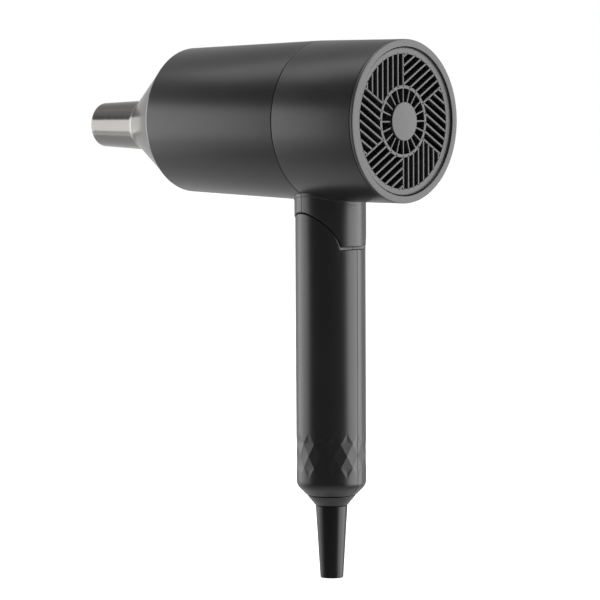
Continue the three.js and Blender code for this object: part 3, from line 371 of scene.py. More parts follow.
# ------------------------------------------------------------------------------ node trees
class Wiring:
    """Short calls for the nodes of a node tree."""

    def __init__(self, tree: bpy.types.NodeTree) -> None:
        """Works on the given tree."""
        self.tree = tree

    def feed(self, socket: bpy.types.NodeSocket, value: object) -> None:
        """Links a socket to an input, or sets the input's value."""
        if isinstance(value, bpy.types.NodeSocket):
            self.tree.links.new(value, socket)
        else:
            socket.default_value = value

    def node(self, kind: str, **inputs: object) -> bpy.types.Node:
        """Adds a node and feeds its inputs, which are named with _ for a space."""
        made = self.tree.nodes.new(kind)
        for key, value in inputs.items():
            self.feed(made.inputs[key.replace("_", " ")], value)
        return made

    def math(self, operation: str, first: object, second: object = 0.0) -> bpy.types.NodeSocket:
        """The result of a Math node on two values or sockets."""
        made = self.tree.nodes.new("ShaderNodeMath")
        made.operation = operation
        self.feed(made.inputs[0], first)
        self.feed(made.inputs[1], second)
        return made.outputs[0]

    def group(self, effect: bpy.types.NodeTree, **values: float) -> bpy.types.Node:
        """Places a shared effect with values of its own."""
        made = self.tree.nodes.new("ShaderNodeGroup")
        made.node_tree = effect
        for key, value in values.items():
            made.inputs[key].default_value = value
        return made

    def blend(self, mask: bpy.types.NodeSocket, low: object, high: object) -> bpy.types.NodeSocket:
        """A colour between two colours or sockets, by a mask."""
        mix = self.tree.nodes.new("ShaderNodeMix")
        mix.data_type = "RGBA"
        self.tree.links.new(mask, mix.inputs["Factor"])
        for name, colour in (("A", low), ("B", high)):
            plain = not isinstance(colour, bpy.types.NodeSocket)
            self.feed(mix.inputs[name], (*colour, 1) if plain else colour)
        return mix.outputs["Result"]

    def bump(self, shader: bpy.types.Node, height: bpy.types.NodeSocket, depth: float) -> None:
        """Feeds a shader's normal with bumps of a height and a depth in metres."""
        bumps = self.node("ShaderNodeBump", Height=height, Distance=depth)
        self.tree.links.new(bumps.outputs[0], shader.inputs["Normal"])

    def ramp(
        self, value: bpy.types.NodeSocket, span: tuple[float, float], smooth: bool = False
    ) -> bpy.types.Node:
        """A Map Range node that reads a value over a span.

        Args:
            value: the value that is mapped.
            span: where it starts and ends.
            smooth: whether the result eases in and out.

        Returns:
            The node, whose outputs' range is still to be set.
        """
        made = self.tree.nodes.new("ShaderNodeMapRange")
        made.interpolation_type = "SMOOTHSTEP" if smooth else "LINEAR"
        self.tree.links.new(value, made.inputs["Value"])
        made.inputs["From Min"].default_value, made.inputs["From Max"].default_value = span
        return made


class Pattern(Wiring):
    """A geometry node tree under construction."""

    def __init__(self, name: str) -> None:
        """Starts a tree with a geometry output."""
        super().__init__(bpy.data.node_groups.new(name, "GeometryNodeTree"))
        self.tree.interface.new_socket("Geometry", in_out="OUTPUT", socket_type="NodeSocketGeometry")
        self.sockets: dict[str, str] = {}
        self.entry = self.tree.nodes.new("NodeGroupInput")

    def inputs(self, **kinds: str) -> list[bpy.types.NodeSocket]:
        """Adds named inputs, with _ for a space, and returns their sockets inside the tree."""
        names = [key.replace("_", " ") for key in kinds]
        for name, kind in zip(names, kinds.values()):
            item = self.tree.interface.new_socket(name, in_out="INPUT", socket_type=f"NodeSocket{kind}")
            self.sockets[name] = item.identifier
        return [self.entry.outputs[name] for name in names]

    def vector(self, x: object = 0.0, y: object = 0.0, z: object = 0.0) -> bpy.types.NodeSocket:
        """A vector from three values or sockets."""
        return self.node("ShaderNodeCombineXYZ", X=x, Y=y, Z=z).outputs[0]

    def copies(
        self, points: bpy.types.NodeSocket, piece: bpy.types.NodeSocket, **inputs: object
    ) -> bpy.types.NodeSocket:
        """The instances of a piece on points."""
        made = self.node("GeometryNodeInstanceOnPoints", Points=points, Instance=piece, **inputs)
        return made.outputs["Instances"]

    def row(self, count: object) -> tuple[bpy.types.NodeSocket, bpy.types.NodeSocket]:
        """Points that all lie at the origin, and the index that tells them apart."""
        line = self.node("GeometryNodeMeshLine", Count=count, Offset=(0, 0, 0))
        return line.outputs["Mesh"], self.node("GeometryNodeInputIndex").outputs["Index"]

    def moved(
        self, points: bpy.types.NodeSocket, place: bpy.types.NodeSocket
    ) -> bpy.types.NodeSocket:
        """The points at new places."""
        return self.node("GeometryNodeSetPosition", Geometry=points, Position=place).outputs[0]

    def half_chord(
        self, radius: bpy.types.NodeSocket, height: bpy.types.NodeSocket
    ) -> bpy.types.NodeSocket:
        """Half the length of a circle's chord at a height over the circle's middle."""
        squares = [self.math("MULTIPLY", length, length) for length in (radius, height)]
        return self.math("SQRT", self.math("SUBTRACT", *squares))

    def shape(self, source: bpy.types.NodeSocket) -> bpy.types.NodeSocket:
        """The mesh of an object that the tree is given."""
        return self.node("GeometryNodeObjectInfo", Object=source).outputs["Geometry"]

    def close(
        self, geometry: bpy.types.NodeSocket, centre: object, material: bpy.types.NodeSocket
    ) -> None:
        """Ends the tree: instances are realized, moved to their centre and given a material."""
        real = self.node("GeometryNodeRealizeInstances", Geometry=geometry)
        moved = self.node("GeometryNodeTransform", Geometry=real.outputs[0], Translation=centre)
        painted = self.node("GeometryNodeSetMaterial", Geometry=moved.outputs[0], Material=material)
        end = self.tree.nodes.new("NodeGroupOutput")
        self.tree.links.new(painted.outputs[0], end.inputs["Geometry"])

    def grow(self, name: str, values: dict[str, object]) -> bmesh.types.BMesh:
        """Runs the tree on an empty mesh.

        Args:
            name: name of the work object.
            values: the value of each named input.

        Returns:
            The plain mesh that the tree makes.
        """
        work = to_object(bmesh.new(), name)
        modifier = work.modifiers.new(name, "NODES")
        modifier.node_group = self.tree
        for key, value in values.items():
            modifier[self.sockets[key]] = value
        settle(work)
        bm = bmesh.new()
        bm.from_mesh(work.data)
        bpy.data.objects.remove(work)
        return bm


def pinwheel_pattern() -> Pattern:
    """Parallel slats in sectors, each ending on the next sector's first slat."""
    p = Pattern("PinwheelSlats")
    slat, rows, pitch, inner, outer, sectors, turn, centre, finish = p.inputs(
        Slat="Object", Slats="Int", Pitch="Float", Inner_Radius="Float", Outer_Radius="Float",
        Sectors="Int", First_Angle="Float", Centre="Vector", Finish="Material",
    )
    step = p.math("DIVIDE", 2 * math.pi, sectors)
    points, index = p.row(rows)
    height = p.math("MULTIPLY", index, pitch)
    from_ring = p.half_chord(inner, height)
    on_line = p.math("DIVIDE", height, p.math("TANGENT", step))
    start = p.math("MAXIMUM", from_ring, on_line)
    placed = p.moved(points, p.vector(y=start, z=height))
    length = p.math("SUBTRACT", p.half_chord(outer, height), start)
    sector = p.copies(placed, p.shape(slat), Scale=p.vector(1.0, length, 1.0))
    spots, number = p.row(sectors)
    angle = p.math("ADD", turn, p.math("MULTIPLY", number, step))
    p.close(p.copies(spots, sector, Rotation=p.vector(x=angle)), centre, finish)
    return p


def radial_pattern() -> Pattern:
    """Copies of a piece at even steps around the X axis."""
    p = Pattern("RadialCopies")
    piece, copies, turn, centre, finish = p.inputs(
        Piece="Object", Copies="Int", First_Angle="Float", Centre="Vector", Finish="Material"
    )
    spots, number = p.row(copies)
    step = p.math("DIVIDE", 2 * math.pi, copies)
    angle = p.math("ADD", turn, p.math("MULTIPLY", number, step))
    p.close(p.copies(spots, p.shape(piece), Rotation=p.vector(x=angle)), centre, finish)
    return p


def wire_cloth_pattern() -> Pattern:
    """Two layers of straight wires across a disc, square to each other."""
    p = Pattern("WireCloth")
    wire, wires, pitch, radius, layer, centre, finish = p.inputs(
        Wire="Object", Wires="Int", Pitch="Float", Radius="Float", Layer="Float",
        Centre="Vector", Finish="Material",
    )
    points, index = p.row(wires)
    middle = p.math("DIVIDE", p.math("SUBTRACT", wires, 1.0), 2.0)
    height = p.math("MULTIPLY", p.math("SUBTRACT", index, middle), pitch)
    half = p.half_chord(radius, height)
    placed = p.moved(points, p.vector(layer, p.math("MULTIPLY", half, -1.0), height))
    one = p.copies(placed, p.shape(wire), Scale=p.vector(1.0, p.math("MULTIPLY", half, 2.0), 1.0))
    spots, number = p.row(2)
    back = p.vector(x=p.math("MULTIPLY", number, p.math("MULTIPLY", layer, -2.0)))
    shifted = p.moved(spots, back)
    quarter = p.vector(x=p.math("MULTIPLY", number, math.pi / 2))
    p.close(p.copies(shifted, one, Rotation=quarter), centre, finish)
    return p


def at_points_pattern() -> Pattern:
    """Copies of a piece on the vertices of another mesh."""
    p = Pattern("CopiesAtPoints")
    piece, places, finish = p.inputs(Piece="Object", Places="Object", Finish="Material")
    p.close(p.copies(p.shape(places), p.shape(piece)), (0, 0, 0), finish)
    return p


# ------------------------------------------------------------------------------ finishes
class Effect:
    """The shader node groups that several finishes share, each made once."""

    @staticmethod
    def start(
        name: str, inputs: dict[str, float], outputs: Sequence[str]
    ) -> tuple[Wiring, bpy.types.NodeOutputs, bpy.types.NodeInputs]:
        """Starts a group.

        Args:
            name: the group's name.
            inputs: each input's name and default.
            outputs: each output's name.

        Returns:
            Short calls for its tree, what the group is given, and what it puts out.
        """
        tree = bpy.data.node_groups.new(name, "ShaderNodeTree")
        for key, value in inputs.items():
            item = tree.interface.new_socket(key, in_out="INPUT", socket_type="NodeSocketFloat")
            item.default_value = value
        for key in outputs:
            tree.interface.new_socket(key, in_out="OUTPUT", socket_type="NodeSocketFloat")
        given = tree.nodes.new("NodeGroupInput").outputs
        return Wiring(tree), given, tree.nodes.new("NodeGroupOutput").inputs

    @staticmethod
    def varied(
        wire: Wiring, given: bpy.types.NodeOutputs, mask: bpy.types.NodeSocket
    ) -> bpy.types.NodeSocket:
        """The group's roughness, spread out by a mask around one half."""
        centred = wire.math("SUBTRACT", mask, 0.5)
        return wire.math("ADD", given["Roughness"], wire.math("MULTIPLY", centred, given["Spread"]))

    @classmethod
    @cache
    def grain(cls) -> bpy.types.NodeTree:
        """Moulded grain and handling: a height, a roughness and a tone that vary."""
        wire, given, result = cls.start(
            "MouldedGrain",
            {"Scale": 9000.0, "Roughness": 0.35, "Spread": 0.08},
            ("Height", "Roughness", "Tone"),
        )
        place = wire.node("ShaderNodeTexCoord").outputs["Object"]
        fine = wire.node("ShaderNodeTexNoise", Vector=place, Scale=given["Scale"], Detail=2.0)
        cloud = wire.node("ShaderNodeTexNoise", Vector=place, Scale=38.0, Detail=4.0, Roughness=0.6)
        mixed = wire.math("ADD", fine.outputs["Fac"], wire.math("MULTIPLY", cloud.outputs["Fac"], 2.0))
        rough = cls.varied(wire, given, wire.math("DIVIDE", mixed, 3.0))
        wire.tree.links.new(fine.outputs["Fac"], result["Height"])
        wire.tree.links.new(rough, result["Roughness"])
        wire.tree.links.new(cloud.outputs["Fac"], result["Tone"])
        return wire.tree

    @classmethod
    @cache
    def dust(cls) -> bpy.types.NodeTree:
        """A thin mask of dust that settles where the surface faces up."""
        wire, given, result = cls.start("SettledDust", {"Amount": 0.05}, ("Mask",))
        normal = wire.node("ShaderNodeNewGeometry").outputs["Normal"]
        up = wire.node("ShaderNodeSeparateXYZ", Vector=normal).outputs["Z"]
        place = wire.node("ShaderNodeTexCoord").outputs["Object"]
        specks = wire.node("ShaderNodeTexNoise", Vector=place, Scale=650.0, Detail=5.0)
        facing = wire.math("MULTIPLY", wire.math("MAXIMUM", up, 0.0), specks.outputs["Fac"])
        wire.tree.links.new(wire.math("MULTIPLY", facing, given["Amount"]), result["Mask"])
        return wire.tree

    @classmethod
    @cache
    def drawn(cls) -> bpy.types.NodeTree:
        """Fine lines left by polishing along the X axis: a height and a roughness."""
        wire, given, result = cls.start(
            "PolishLines",
            {"Roughness": 0.2, "Spread": 0.06, "Lines": 2600.0},
            ("Height", "Roughness"),
        )
        place = wire.node("ShaderNodeTexCoord").outputs["Object"]
        squeezed = wire.node("ShaderNodeMapping", Vector=place, Scale=(1.0, 0.03, 0.03))
        lines = wire.node(
            "ShaderNodeTexNoise", Vector=squeezed.outputs[0], Scale=given["Lines"], Detail=3.0
        )
        wire.tree.links.new(lines.outputs["Fac"], result["Height"])
        wire.tree.links.new(cls.varied(wire, given, lines.outputs["Fac"]), result["Roughness"])
        return wire.tree


def new_material(name: str) -> tuple[bpy.types.Material, Wiring, bpy.types.Node]:
    """A material with its node tree and its Principled shader."""
    material = bpy.data.materials.new(name)
    material.use_nodes = True
    shader = material.node_tree.nodes["Principled BSDF"]
    return material, Wiring(material.node_tree), shader


def grey(level: float) -> Colour:
    """A neutral colour."""
    return (level, level, level)


DUST_COLOUR: Colour = (0.45, 0.43, 0.40)


@dataclass(frozen=True)
class MouldedPlastic:
    """Moulded plastic with a fine grain, handling marks and a trace of dust.

    Attributes:
        name: the finish's name.
        colour: its base colour.
        roughness: its middle roughness.
        grain: depth of the grain's bumps, in metres.
        grain_scale: how fine the grain is, per metre.
        dust: how much dust lies on it.
        spread: how far the roughness varies.
        specular: strength of its reflections.
    """

    name: str
    colour: Colour
    roughness: float
    grain: float = 0.004 * MM
    grain_scale: float = 5200.0
    dust: float = 0.012
    spread: float = 0.12
    specular: float = 0.5

    def make(self) -> bpy.types.Material:
        """Builds the material."""
        material, wire, shader = new_material(self.name)
        grain = wire.group(
            Effect.grain(), Scale=self.grain_scale, Roughness=self.roughness, Spread=self.spread
        )
        dust = wire.group(Effect.dust(), Amount=self.dust)
        lighter = tuple(min(1.0, c * 1.25 + 0.002) for c in self.colour)
        darker = tuple(c * 0.85 for c in self.colour)
        base = wire.blend(grain.outputs["Tone"], darker, lighter)
        dusty = wire.blend(dust.outputs["Mask"], base, DUST_COLOUR)
        wire.tree.links.new(dusty, shader.inputs["Base Color"])
        wire.tree.links.new(grain.outputs["Roughness"], shader.inputs["Roughness"])
        wire.bump(shader, grain.outputs["Height"], self.grain)
        shader.inputs["Specular IOR Level"].default_value = self.specular
        return material


@dataclass(frozen=True)
class PolishedMetal:
    """Metal with fine polishing lines and a varying gloss.

    Attributes:
        name: the finish's name.
        colour: its colour.
        roughness: its middle roughness.
        spread: how far the roughness varies.
        lines: how fine the lines are, per metre.
        depth: depth of the lines, in metres.
    """

    name: str
    colour: Colour
    roughness: float
    spread: float = 0.06
    lines: float = 2600.0
    depth: float = 0.0006 * MM

    def make(self) -> bpy.types.Material:
        """Builds the material."""
        material, wire, shader = new_material(self.name)
        drawn = wire.group(
            Effect.drawn(), Roughness=self.roughness, Spread=self.spread, Lines=self.lines
        )
        grain = wire.group(Effect.grain(), Scale=400.0)
        darker = tuple(c * 0.93 for c in self.colour)
        tint = wire.blend(grain.outputs["Tone"], darker, self.colour)
        wire.tree.links.new(tint, shader.inputs["Base Color"])
        wire.tree.links.new(drawn.outputs["Roughness"], shader.inputs["Roughness"])
        wire.bump(shader, drawn.outputs["Height"], self.depth)
        shader.inputs["Metallic"].default_value = 1.0
        return material


@dataclass(frozen=True)
class FleckedSheet:
    """Mica or circuit board: a dull sheet with flecks of another colour.

    Attributes:
        name: the finish's name.
        colour: the sheet's colour.
        fleck: the flecks' colour.
        flecks: how many flecks there are, per metre.
        roughness: its middle roughness.
        spread: how far the roughness varies.
        depth: depth of the bumps around the flecks, in metres.
    """

    name: str
    colour: Colour
    fleck: Colour
    flecks: float = 900.0
    roughness: float = 0.6
    spread: float = 0.2
    depth: float = 0.01 * MM

    def make(self) -> bpy.types.Material:
        """Builds the material."""
        material, wire, shader = new_material(self.name)
        place = wire.node("ShaderNodeTexCoord").outputs["Object"]
        cells = wire.node("ShaderNodeTexVoronoi", Vector=place, Scale=self.flecks)
        mask = wire.math("POWER", cells.outputs["Distance"], 2.0)
        wire.tree.links.new(wire.blend(mask, self.fleck, self.colour), shader.inputs["Base Color"])
        wire.bump(shader, cells.outputs["Distance"], self.depth)
        grain = wire.group(Effect.grain(), Roughness=self.roughness, Spread=self.spread)
        wire.tree.links.new(grain.outputs["Roughness"], shader.inputs["Roughness"])
        return material


FINISHES = {
    "satin_black": MouldedPlastic("SatinBlack", grey(0.005), 0.32),
    # partly painted light: the grille black is lighter than the satin black of the same plastic,
    # standing in for the strong light on the rear face
    "grille_black": MouldedPlastic("GrilleBlackPaintedLight", grey(0.020), 0.38),
    "gloss_black": MouldedPlastic("GlossBlack", grey(0.003), 0.3, grain=0.001 * MM, specular=0.35),
    "dark_chrome": PolishedMetal("DarkChrome", (0.215, 0.208, 0.2), 0.17),
    # painted shade: the duct black is made near black with weak reflections so the fold gap and the
    # parts behind the grilles read as shade; the parts are also dark plastic
    "duct_black": MouldedPlastic("DuctBlackPaintedShade", grey(0.006), 0.6, specular=0.15),
    "steel": PolishedMetal("Steel", (0.62, 0.63, 0.64), 0.32, spread=0.12),
    "mica": FleckedSheet("Mica", (0.52, 0.44, 0.30), (0.72, 0.66, 0.52)),
    "element": PolishedMetal("Element", (0.42, 0.39, 0.36), 0.45, spread=0.2, lines=9000.0),
    "circuit_board": FleckedSheet("CircuitBoard", (0.02, 0.14, 0.05), (0.05, 0.22, 0.09), 1500.0),
    "switch_black": MouldedPlastic("SwitchBlack", grey(0.04), 0.5),
    "white_plastic": MouldedPlastic("WhitePlastic", grey(0.62), 0.45, dust=0.0),
    "copper": PolishedMetal("Copper", (0.62, 0.30, 0.17), 0.38, spread=0.15, lines=6000.0),
    # painted shade: the steel filter cloth is made near black with weak reflections so the grille's
    # slots read dark
    "filter_steel": MouldedPlastic("FilterPaintedShadeBlack", grey(0.004), 0.6, specular=0.12),
}


class Finishes:
    """The materials of the dryer, each made once, by the record's slot name."""

    def __init__(self) -> None:
        """Makes every material."""
        self.materials = {slot: finish.make() for slot, finish in FINISHES.items()}

    def dress_nodes(self) -> None:
        """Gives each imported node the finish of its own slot."""
        for part in frame["record"]["subparts"]:
            mesh = frame["nodes"][part["node"]].data
            mesh.materials.clear()
            mesh.materials.append(self.materials[part["material_slot"]])

    def place(
        self, bm: bmesh.types.BMesh, name: str, body: Body, slot: str, *replaced: str
    ) -> bpy.types.Object:
        """Turns a finished mesh into a piece of the dryer.

        Args:
            bm: the mesh, already shaded.
            name: the piece's name.
            body: the body that it moves with.
            slot: the record's material slot.
            replaced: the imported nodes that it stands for.

        Returns:
            The piece.
        """
        piece = to_object(bm, name)
        piece.data.materials.append(self.materials[slot])
        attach(piece, body.value)
        if replaced:
            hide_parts(*replaced)
        log.info("%s: %d faces, rides on %s", name, len(piece.data.polygons), body.value)
        return piece


# ------------------------------------------------------------------------------ sub-assemblies
@dataclass
class Barrel:
    """The two barrel shells with the neck that stands under them.

    Attributes:
        rear_taper: radius lost from the rim to the seam.
        front_taper: radius lost from the seam to the front edge.
        wall: thickness of the shells.
        seam_round: rounding of the edges on the seam.
        mouth_round: rounding of the front edge.
        mouth_lip: wall left around the mouth.
        seam_lip: how far the rear shell's inner lip lies under the front shell's wall.
        lip_length: length of that lip on each side of the seam.
        lip_wall: thickness of that lip.
        neck_step: how far the neck stands proud of the grip.
        neck_wall: thickness of the neck.
        ear_clearance: radius of the neck's arc around the hinge.
        neck_drop: hinge axis to the neck's rear lower edge.
        neck_round: rounding of the neck's lower edge.
        band_drop: height of the band where the neck meets the barrel.
        band_proud: how far that band stands proud.
        segments: steps around the barrel.
        columns: steps around the neck.
    """

    datum: Datum
    rear_taper: float = 0.2 * MM
    front_taper: float = 3.0 * MM
    wall: float = 2.0 * MM
    seam_round: float = 0.25 * MM
    mouth_round: float = 1.0 * MM
    mouth_lip: float = 1.4 * MM
    seam_lip: float = 0.5 * MM
    lip_length: float = 4.5 * MM
    lip_wall: float = 1.6 * MM
    neck_step: float = 0.4 * MM
    neck_wall: float = 2.2 * MM
    ear_clearance: float = 18.9 * MM
    neck_drop: float = 2.4 * MM
    neck_round: float = 0.55 * MM
    band_drop: float = 1.3 * MM
    band_proud: float = 0.22 * MM
    segments: int = 256
    columns: int = 384

    @property
    def neck_radius(self) -> float:
        """Outer radius of the neck."""
        return self.datum.grip_radius + self.neck_step

    @property
    def seam_radius(self) -> float:
        """Barrel radius at the seam."""
        return self.datum.rim_radius - self.rear_taper

    def radius_at(self, x: float) -> float:
        """Outer radius of the barrel at a place along its axis."""
        d = self.datum
        if x > d.seam_x:
            return self.seam_radius + self.rear_taper * (x - d.seam_x) / (d.rim_x - d.seam_x)
        return self.seam_radius - self.front_taper * (d.seam_x - x) / (d.seam_x - d.mouth_x)

    def front_shell(self) -> bmesh.types.BMesh:
        """The front shell without its part of the neck."""
        d = self.datum
        seam = d.seam_x - FIT / 2
        seat_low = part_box("nozzle_collar")[1].x + FIT
        mouth = self.radius_at(d.mouth_x)
        outline = fillet([
            (self.seam_radius - self.wall, seam, 0),
            (self.seam_radius, seam, self.seam_round),
            (mouth, d.mouth_x, self.mouth_round),
            (mouth - self.mouth_lip, d.mouth_x, self.seam_round),
            (mouth - self.mouth_lip, seat_low, 0),
            (self.radius_at(seat_low) - self.wall, seat_low, 0),
        ])
        return lathe(outline, Axis.X, d.barrel_centre, self.segments)

    def rear_shell(self) -> bmesh.types.BMesh:
        """The rear shell without its part of the neck."""
        d = self.datum
        seam = d.seam_x + FIT / 2
        back = d.rim_x - (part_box("rear_bezel")[1].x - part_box("rear_shell")[1].x)
        lip = self.seam_radius - self.wall - self.seam_lip
        outline = fillet([
            (self.radius_at(back) - self.wall, back, 0),
            (self.radius_at(back), back, self.seam_round),
            (self.seam_radius, seam, self.seam_round),
            (lip, seam, 0),
            (lip, seam - self.lip_length, 0),
            (lip - self.lip_wall, seam - self.lip_length, 0),
            (lip - self.lip_wall, seam + self.lip_length, 0),
            (self.radius_at(back) - self.wall, seam + self.lip_length, 0),
        ])
        return lathe(outline, Axis.X, d.barrel_centre, self.segments)

    def lower_edge(self, x: float, inset: float) -> float:
        """Height of the neck's lower edge above a place, moved into the neck by an inset."""
        d = self.datum
        floor = d.pivot.z + self.neck_drop + inset
        reach = (self.ear_clearance + inset) ** 2 - (x - d.pivot.x) ** 2
        return max(floor, d.pivot.z + math.sqrt(reach)) if reach > 0 else floor

    def neck_profile(self, angle: float) -> list[Vector]:
        """Closed section of the neck's wall at an angle around the grip's axis."""
        d = self.datum
        r = self.neck_radius

        def below_barrel(radius: float, drop: float) -> Vector:
            """The point at a radius that lies a drop under the barrel's surface."""
            point = on_axis(Axis.Z, d.grip_centre, radius, angle, 0)
            barrel = self.radius_at(point.x)
            point.z = d.axis_z - math.sqrt(barrel**2 - point.y**2) - drop
            return point

        def above_ears(radius: float, inset: float) -> Vector:
            """The point at a radius on the neck's lower edge, moved up by an inset."""
            point = on_axis(Axis.Z, d.grip_centre, radius, angle, 0)
            point.z = self.lower_edge(point.x, inset)
            return point

        inside = -0.6 * self.wall
        points = [below_barrel(r + self.band_proud, inside)]
        for t in QUARTER_TURN[::2]:
            drop = self.band_drop + self.band_proud * math.sin(t)
            points.append(below_barrel(r + self.band_proud * math.cos(t), drop))
        for t in QUARTER_TURN:
            inset = self.neck_round * (1 - math.sin(t))
            points.append(above_ears(r - self.neck_round * (1 - math.cos(t)), inset))
        points += [above_ears(r - self.neck_wall, 0), below_barrel(r - self.neck_wall, inside)]
        return points

    def neck(self, front: bool) -> bmesh.types.BMesh:
        """The neck's wall on one side of the seam plane."""
        d = self.datum
        edge = d.seam_x + (-FIT if front else FIT) / 2
        turn = math.acos((edge - d.grip_x) / self.neck_radius)
        start, sweep = (turn, 2 * (math.pi - turn)) if front else (-turn, 2 * turn)
        count = round(self.columns * sweep / (2 * math.pi))
        angles = [start + sweep * i / count for i in range(count + 1)]
        return solid_from_profiles([self.neck_profile(a) for a in angles], around=False)

    def build(self, finishes: Finishes) -> None:
        """Builds and dresses both shells."""
        for node, shell, front in (
            ("front_shell", self.front_shell(), True),
            ("rear_shell", self.rear_shell(), False),
        ):
            bm = merged(shell, self.neck(front))
            shade(bm)
            finishes.place(bm, f"barrel_{node}", Body.BARREL, "satin_black", node)


@dataclass
class RearCap:
    """The rear rim with its pinwheel grille, hub cap and filter.

    Attributes:
        face_width: width of the flat rim.
        inner_round: rounding of the rim's inner edge.
        outer_round: rounding of its outer edge.
        shoulder_round: rounding of its edge on the rear shell.
        ledge: inward ledge that carries the grille.
        slot_radius: outer end of the slots.
        band: inner and outer radius of the ring between spokes and slats.
        slat_width: width of a slat.
        cove: width of the hollow round at the plate's outer edge.
        cove_rise: its height as a share of its width.
        stem_share: radius of the hub cap's stem as a share of the cap's.
        spoke_width: width of a spoke.
        pitch: distance between slats.
        slats: slats in a sector.
        sectors: sectors of parallel slats.
        spokes: spokes around the hub.
        first_angle: angle of the first sector's first slat.
        bar_round: rounding of the bars' front edges.
        wire: thickness of the filter's wires.
        wire_pitch: distance between the wires.
        cloth_lap: how far the cloth reaches into the frame.
        sleeve_step: rim's side to the sleeve inside the rear shell.
        root: how far the spokes reach into the hub plate and the band.
        slat_root: how far the slats reach into the plate ring.
        hub_round: rounding of the hub cap's face.
        hub_foot_round: rounding of its edge on the grille.
        segments: steps around the rim.
    """

    datum: Datum
    face_width: float = 3.55 * MM
    inner_round: float = 0.35 * MM
    outer_round: float = 0.45 * MM
    shoulder_round: float = 0.25 * MM
    ledge: float = 1.9 * MM
    slot_radius: float = 32.0 * MM
    band: tuple[float, float] = (15.6 * MM, 17.2 * MM)
    slat_width: float = 1.1 * MM
    cove: float = 1.1 * MM
    cove_rise: float = 0.7
    stem_share: float = 0.35
    spoke_width: float = 0.9 * MM
    pitch: float = 3.76 * MM
    slats: int = 8
    sectors: int = 6
    spokes: int = 20
    first_angle: float = math.radians(30)
    bar_round: float = 0.2 * MM
    wire: float = 0.24 * MM
    wire_pitch: float = 1.1 * MM
    cloth_lap: float = 0.4 * MM
    sleeve_step: float = 2.3 * MM
    root: float = 0.3 * MM
    slat_root: float = 0.5 * MM
    hub_round: float = 0.5 * MM
    hub_foot_round: float = 0.1 * MM
    segments: int = 256

    def bezel(self) -> bmesh.types.BMesh:
        """The rim ring, its recess wall and its ledge."""
        d = self.datum
        low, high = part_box("rear_bezel")
        ledge_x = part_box("intake_grille")[0].x - FIT
        bore = d.rim_radius - self.face_width
        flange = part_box("rear_shell")[1].x + FIT
        sleeve = d.rim_radius - self.sleeve_step
        outline = fillet([
            (bore, high.x, self.inner_round),
            (d.rim_radius, high.x, self.outer_round),
            (d.rim_radius, flange, self.shoulder_round),
            (sleeve, flange, 0),
            (sleeve, low.x, FINE_ROUND),
            (bore - self.ledge, low.x, FINE_ROUND),
            (bore - self.ledge, ledge_x, FINE_ROUND),
            (bore, ledge_x, 0),
        ])
        return lathe(outline, Axis.X, d.barrel_centre, self.segments)

    def bar(self, width: float, start: float, end: float) -> bpy.types.Object:
        """A grille bar along +Y with rounded front edges, as a source for the patterns."""
        low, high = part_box("intake_grille")
        depth = high.x - low.x
        w, r = width / 2, self.bar_round
        section = [(0, -w), (0, w), (depth - r, w), (depth - r * 0.3, w - r * 0.3), (depth, w - r)]
        section += [(depth, r - w), (depth - r * 0.3, r * 0.3 - w), (depth - r, -w)]
        profiles = [[Vector((x - depth, y, z)) for x, z in section] for y in (start, end)]
        bm = solid_from_profiles(profiles, around=False)
        shade(bm, lambda place: BAR_EDGE)
        return to_object(bm, "bar")

    def grille(self, finishes: Finishes) -> bmesh.types.BMesh:
        """The whole grille: plate ring, band, hub plate, slats and spokes."""
        d = self.datum
        low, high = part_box("intake_grille")
        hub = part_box("grille_hub_cap")[1].z - d.axis_z
        edge = d.rim_radius - self.face_width - FIT
        cove = []
        for k in range(9):
            t = math.pi / 2 * k / 8
            rise = self.cove * self.cove_rise * (1 - math.cos(t))
            cove.append((edge - self.cove * (1 - math.sin(t)), high.x + rise))
        plate = [(self.slot_radius, low.x), (self.slot_radius, high.x - self.bar_round)]
        plate += [(self.slot_radius + self.bar_round, high.x), *cove, (edge, low.x)]
        parts = [lathe(plate, Axis.X, d.barrel_centre, self.segments)]
        shade(parts[0])
        for inner, outer in (self.band, (hub * self.stem_share + FIT, hub)):
            outline = fillet([
                (inner, low.x, 0),
                (inner, high.x, self.bar_round),
                (outer, high.x, self.bar_round),
                (outer, low.x, 0),
            ], steps=3)
            part = lathe(outline, Axis.X, d.barrel_centre, self.segments // 2)
            shade(part)
            parts.append(part)
        centre = (high.x, 0, d.axis_z)
        material = finishes.materials["grille_black"]
        slat = self.bar(self.slat_width, 0, 1)
        parts.append(pinwheel_pattern().grow("slats", {
            "Slat": slat, "Slats": self.slats, "Pitch": self.pitch,
            "Inner Radius": sum(self.band) / 2, "Outer Radius": self.slot_radius + self.slat_root,
            "Sectors": self.sectors, "First Angle": self.first_angle, "Centre": centre,
            "Finish": material,
        }))
        spoke = self.bar(self.spoke_width, hub - self.root, self.band[0] + self.root)
        parts.append(radial_pattern().grow("spokes", {
            "Piece": spoke, "Copies": self.spokes, "First Angle": math.pi / 2, "Centre": centre,
            "Finish": material,
        }))
        for source in (slat, spoke):
            bpy.data.objects.remove(source)
        return merged(*parts)

    def hub_cap(self) -> bmesh.types.BMesh:
        """The plain round cap in the middle of the grille."""
        d = self.datum
        low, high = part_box("grille_hub_cap")
        radius = high.z - d.axis_z
        stem = radius * self.stem_share
        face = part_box("intake_grille")[1].x
        outline = fillet([
            (0, low.x, 0),
            (stem, low.x, 0),
            (stem, face + FIT, 0),
            (radius, face + FIT, self.hub_foot_round),
            (radius, high.x, self.hub_round),
            (0, high.x, 0),
        ])
        return lathe(outline, Axis.X, d.barrel_centre, self.segments // 2)

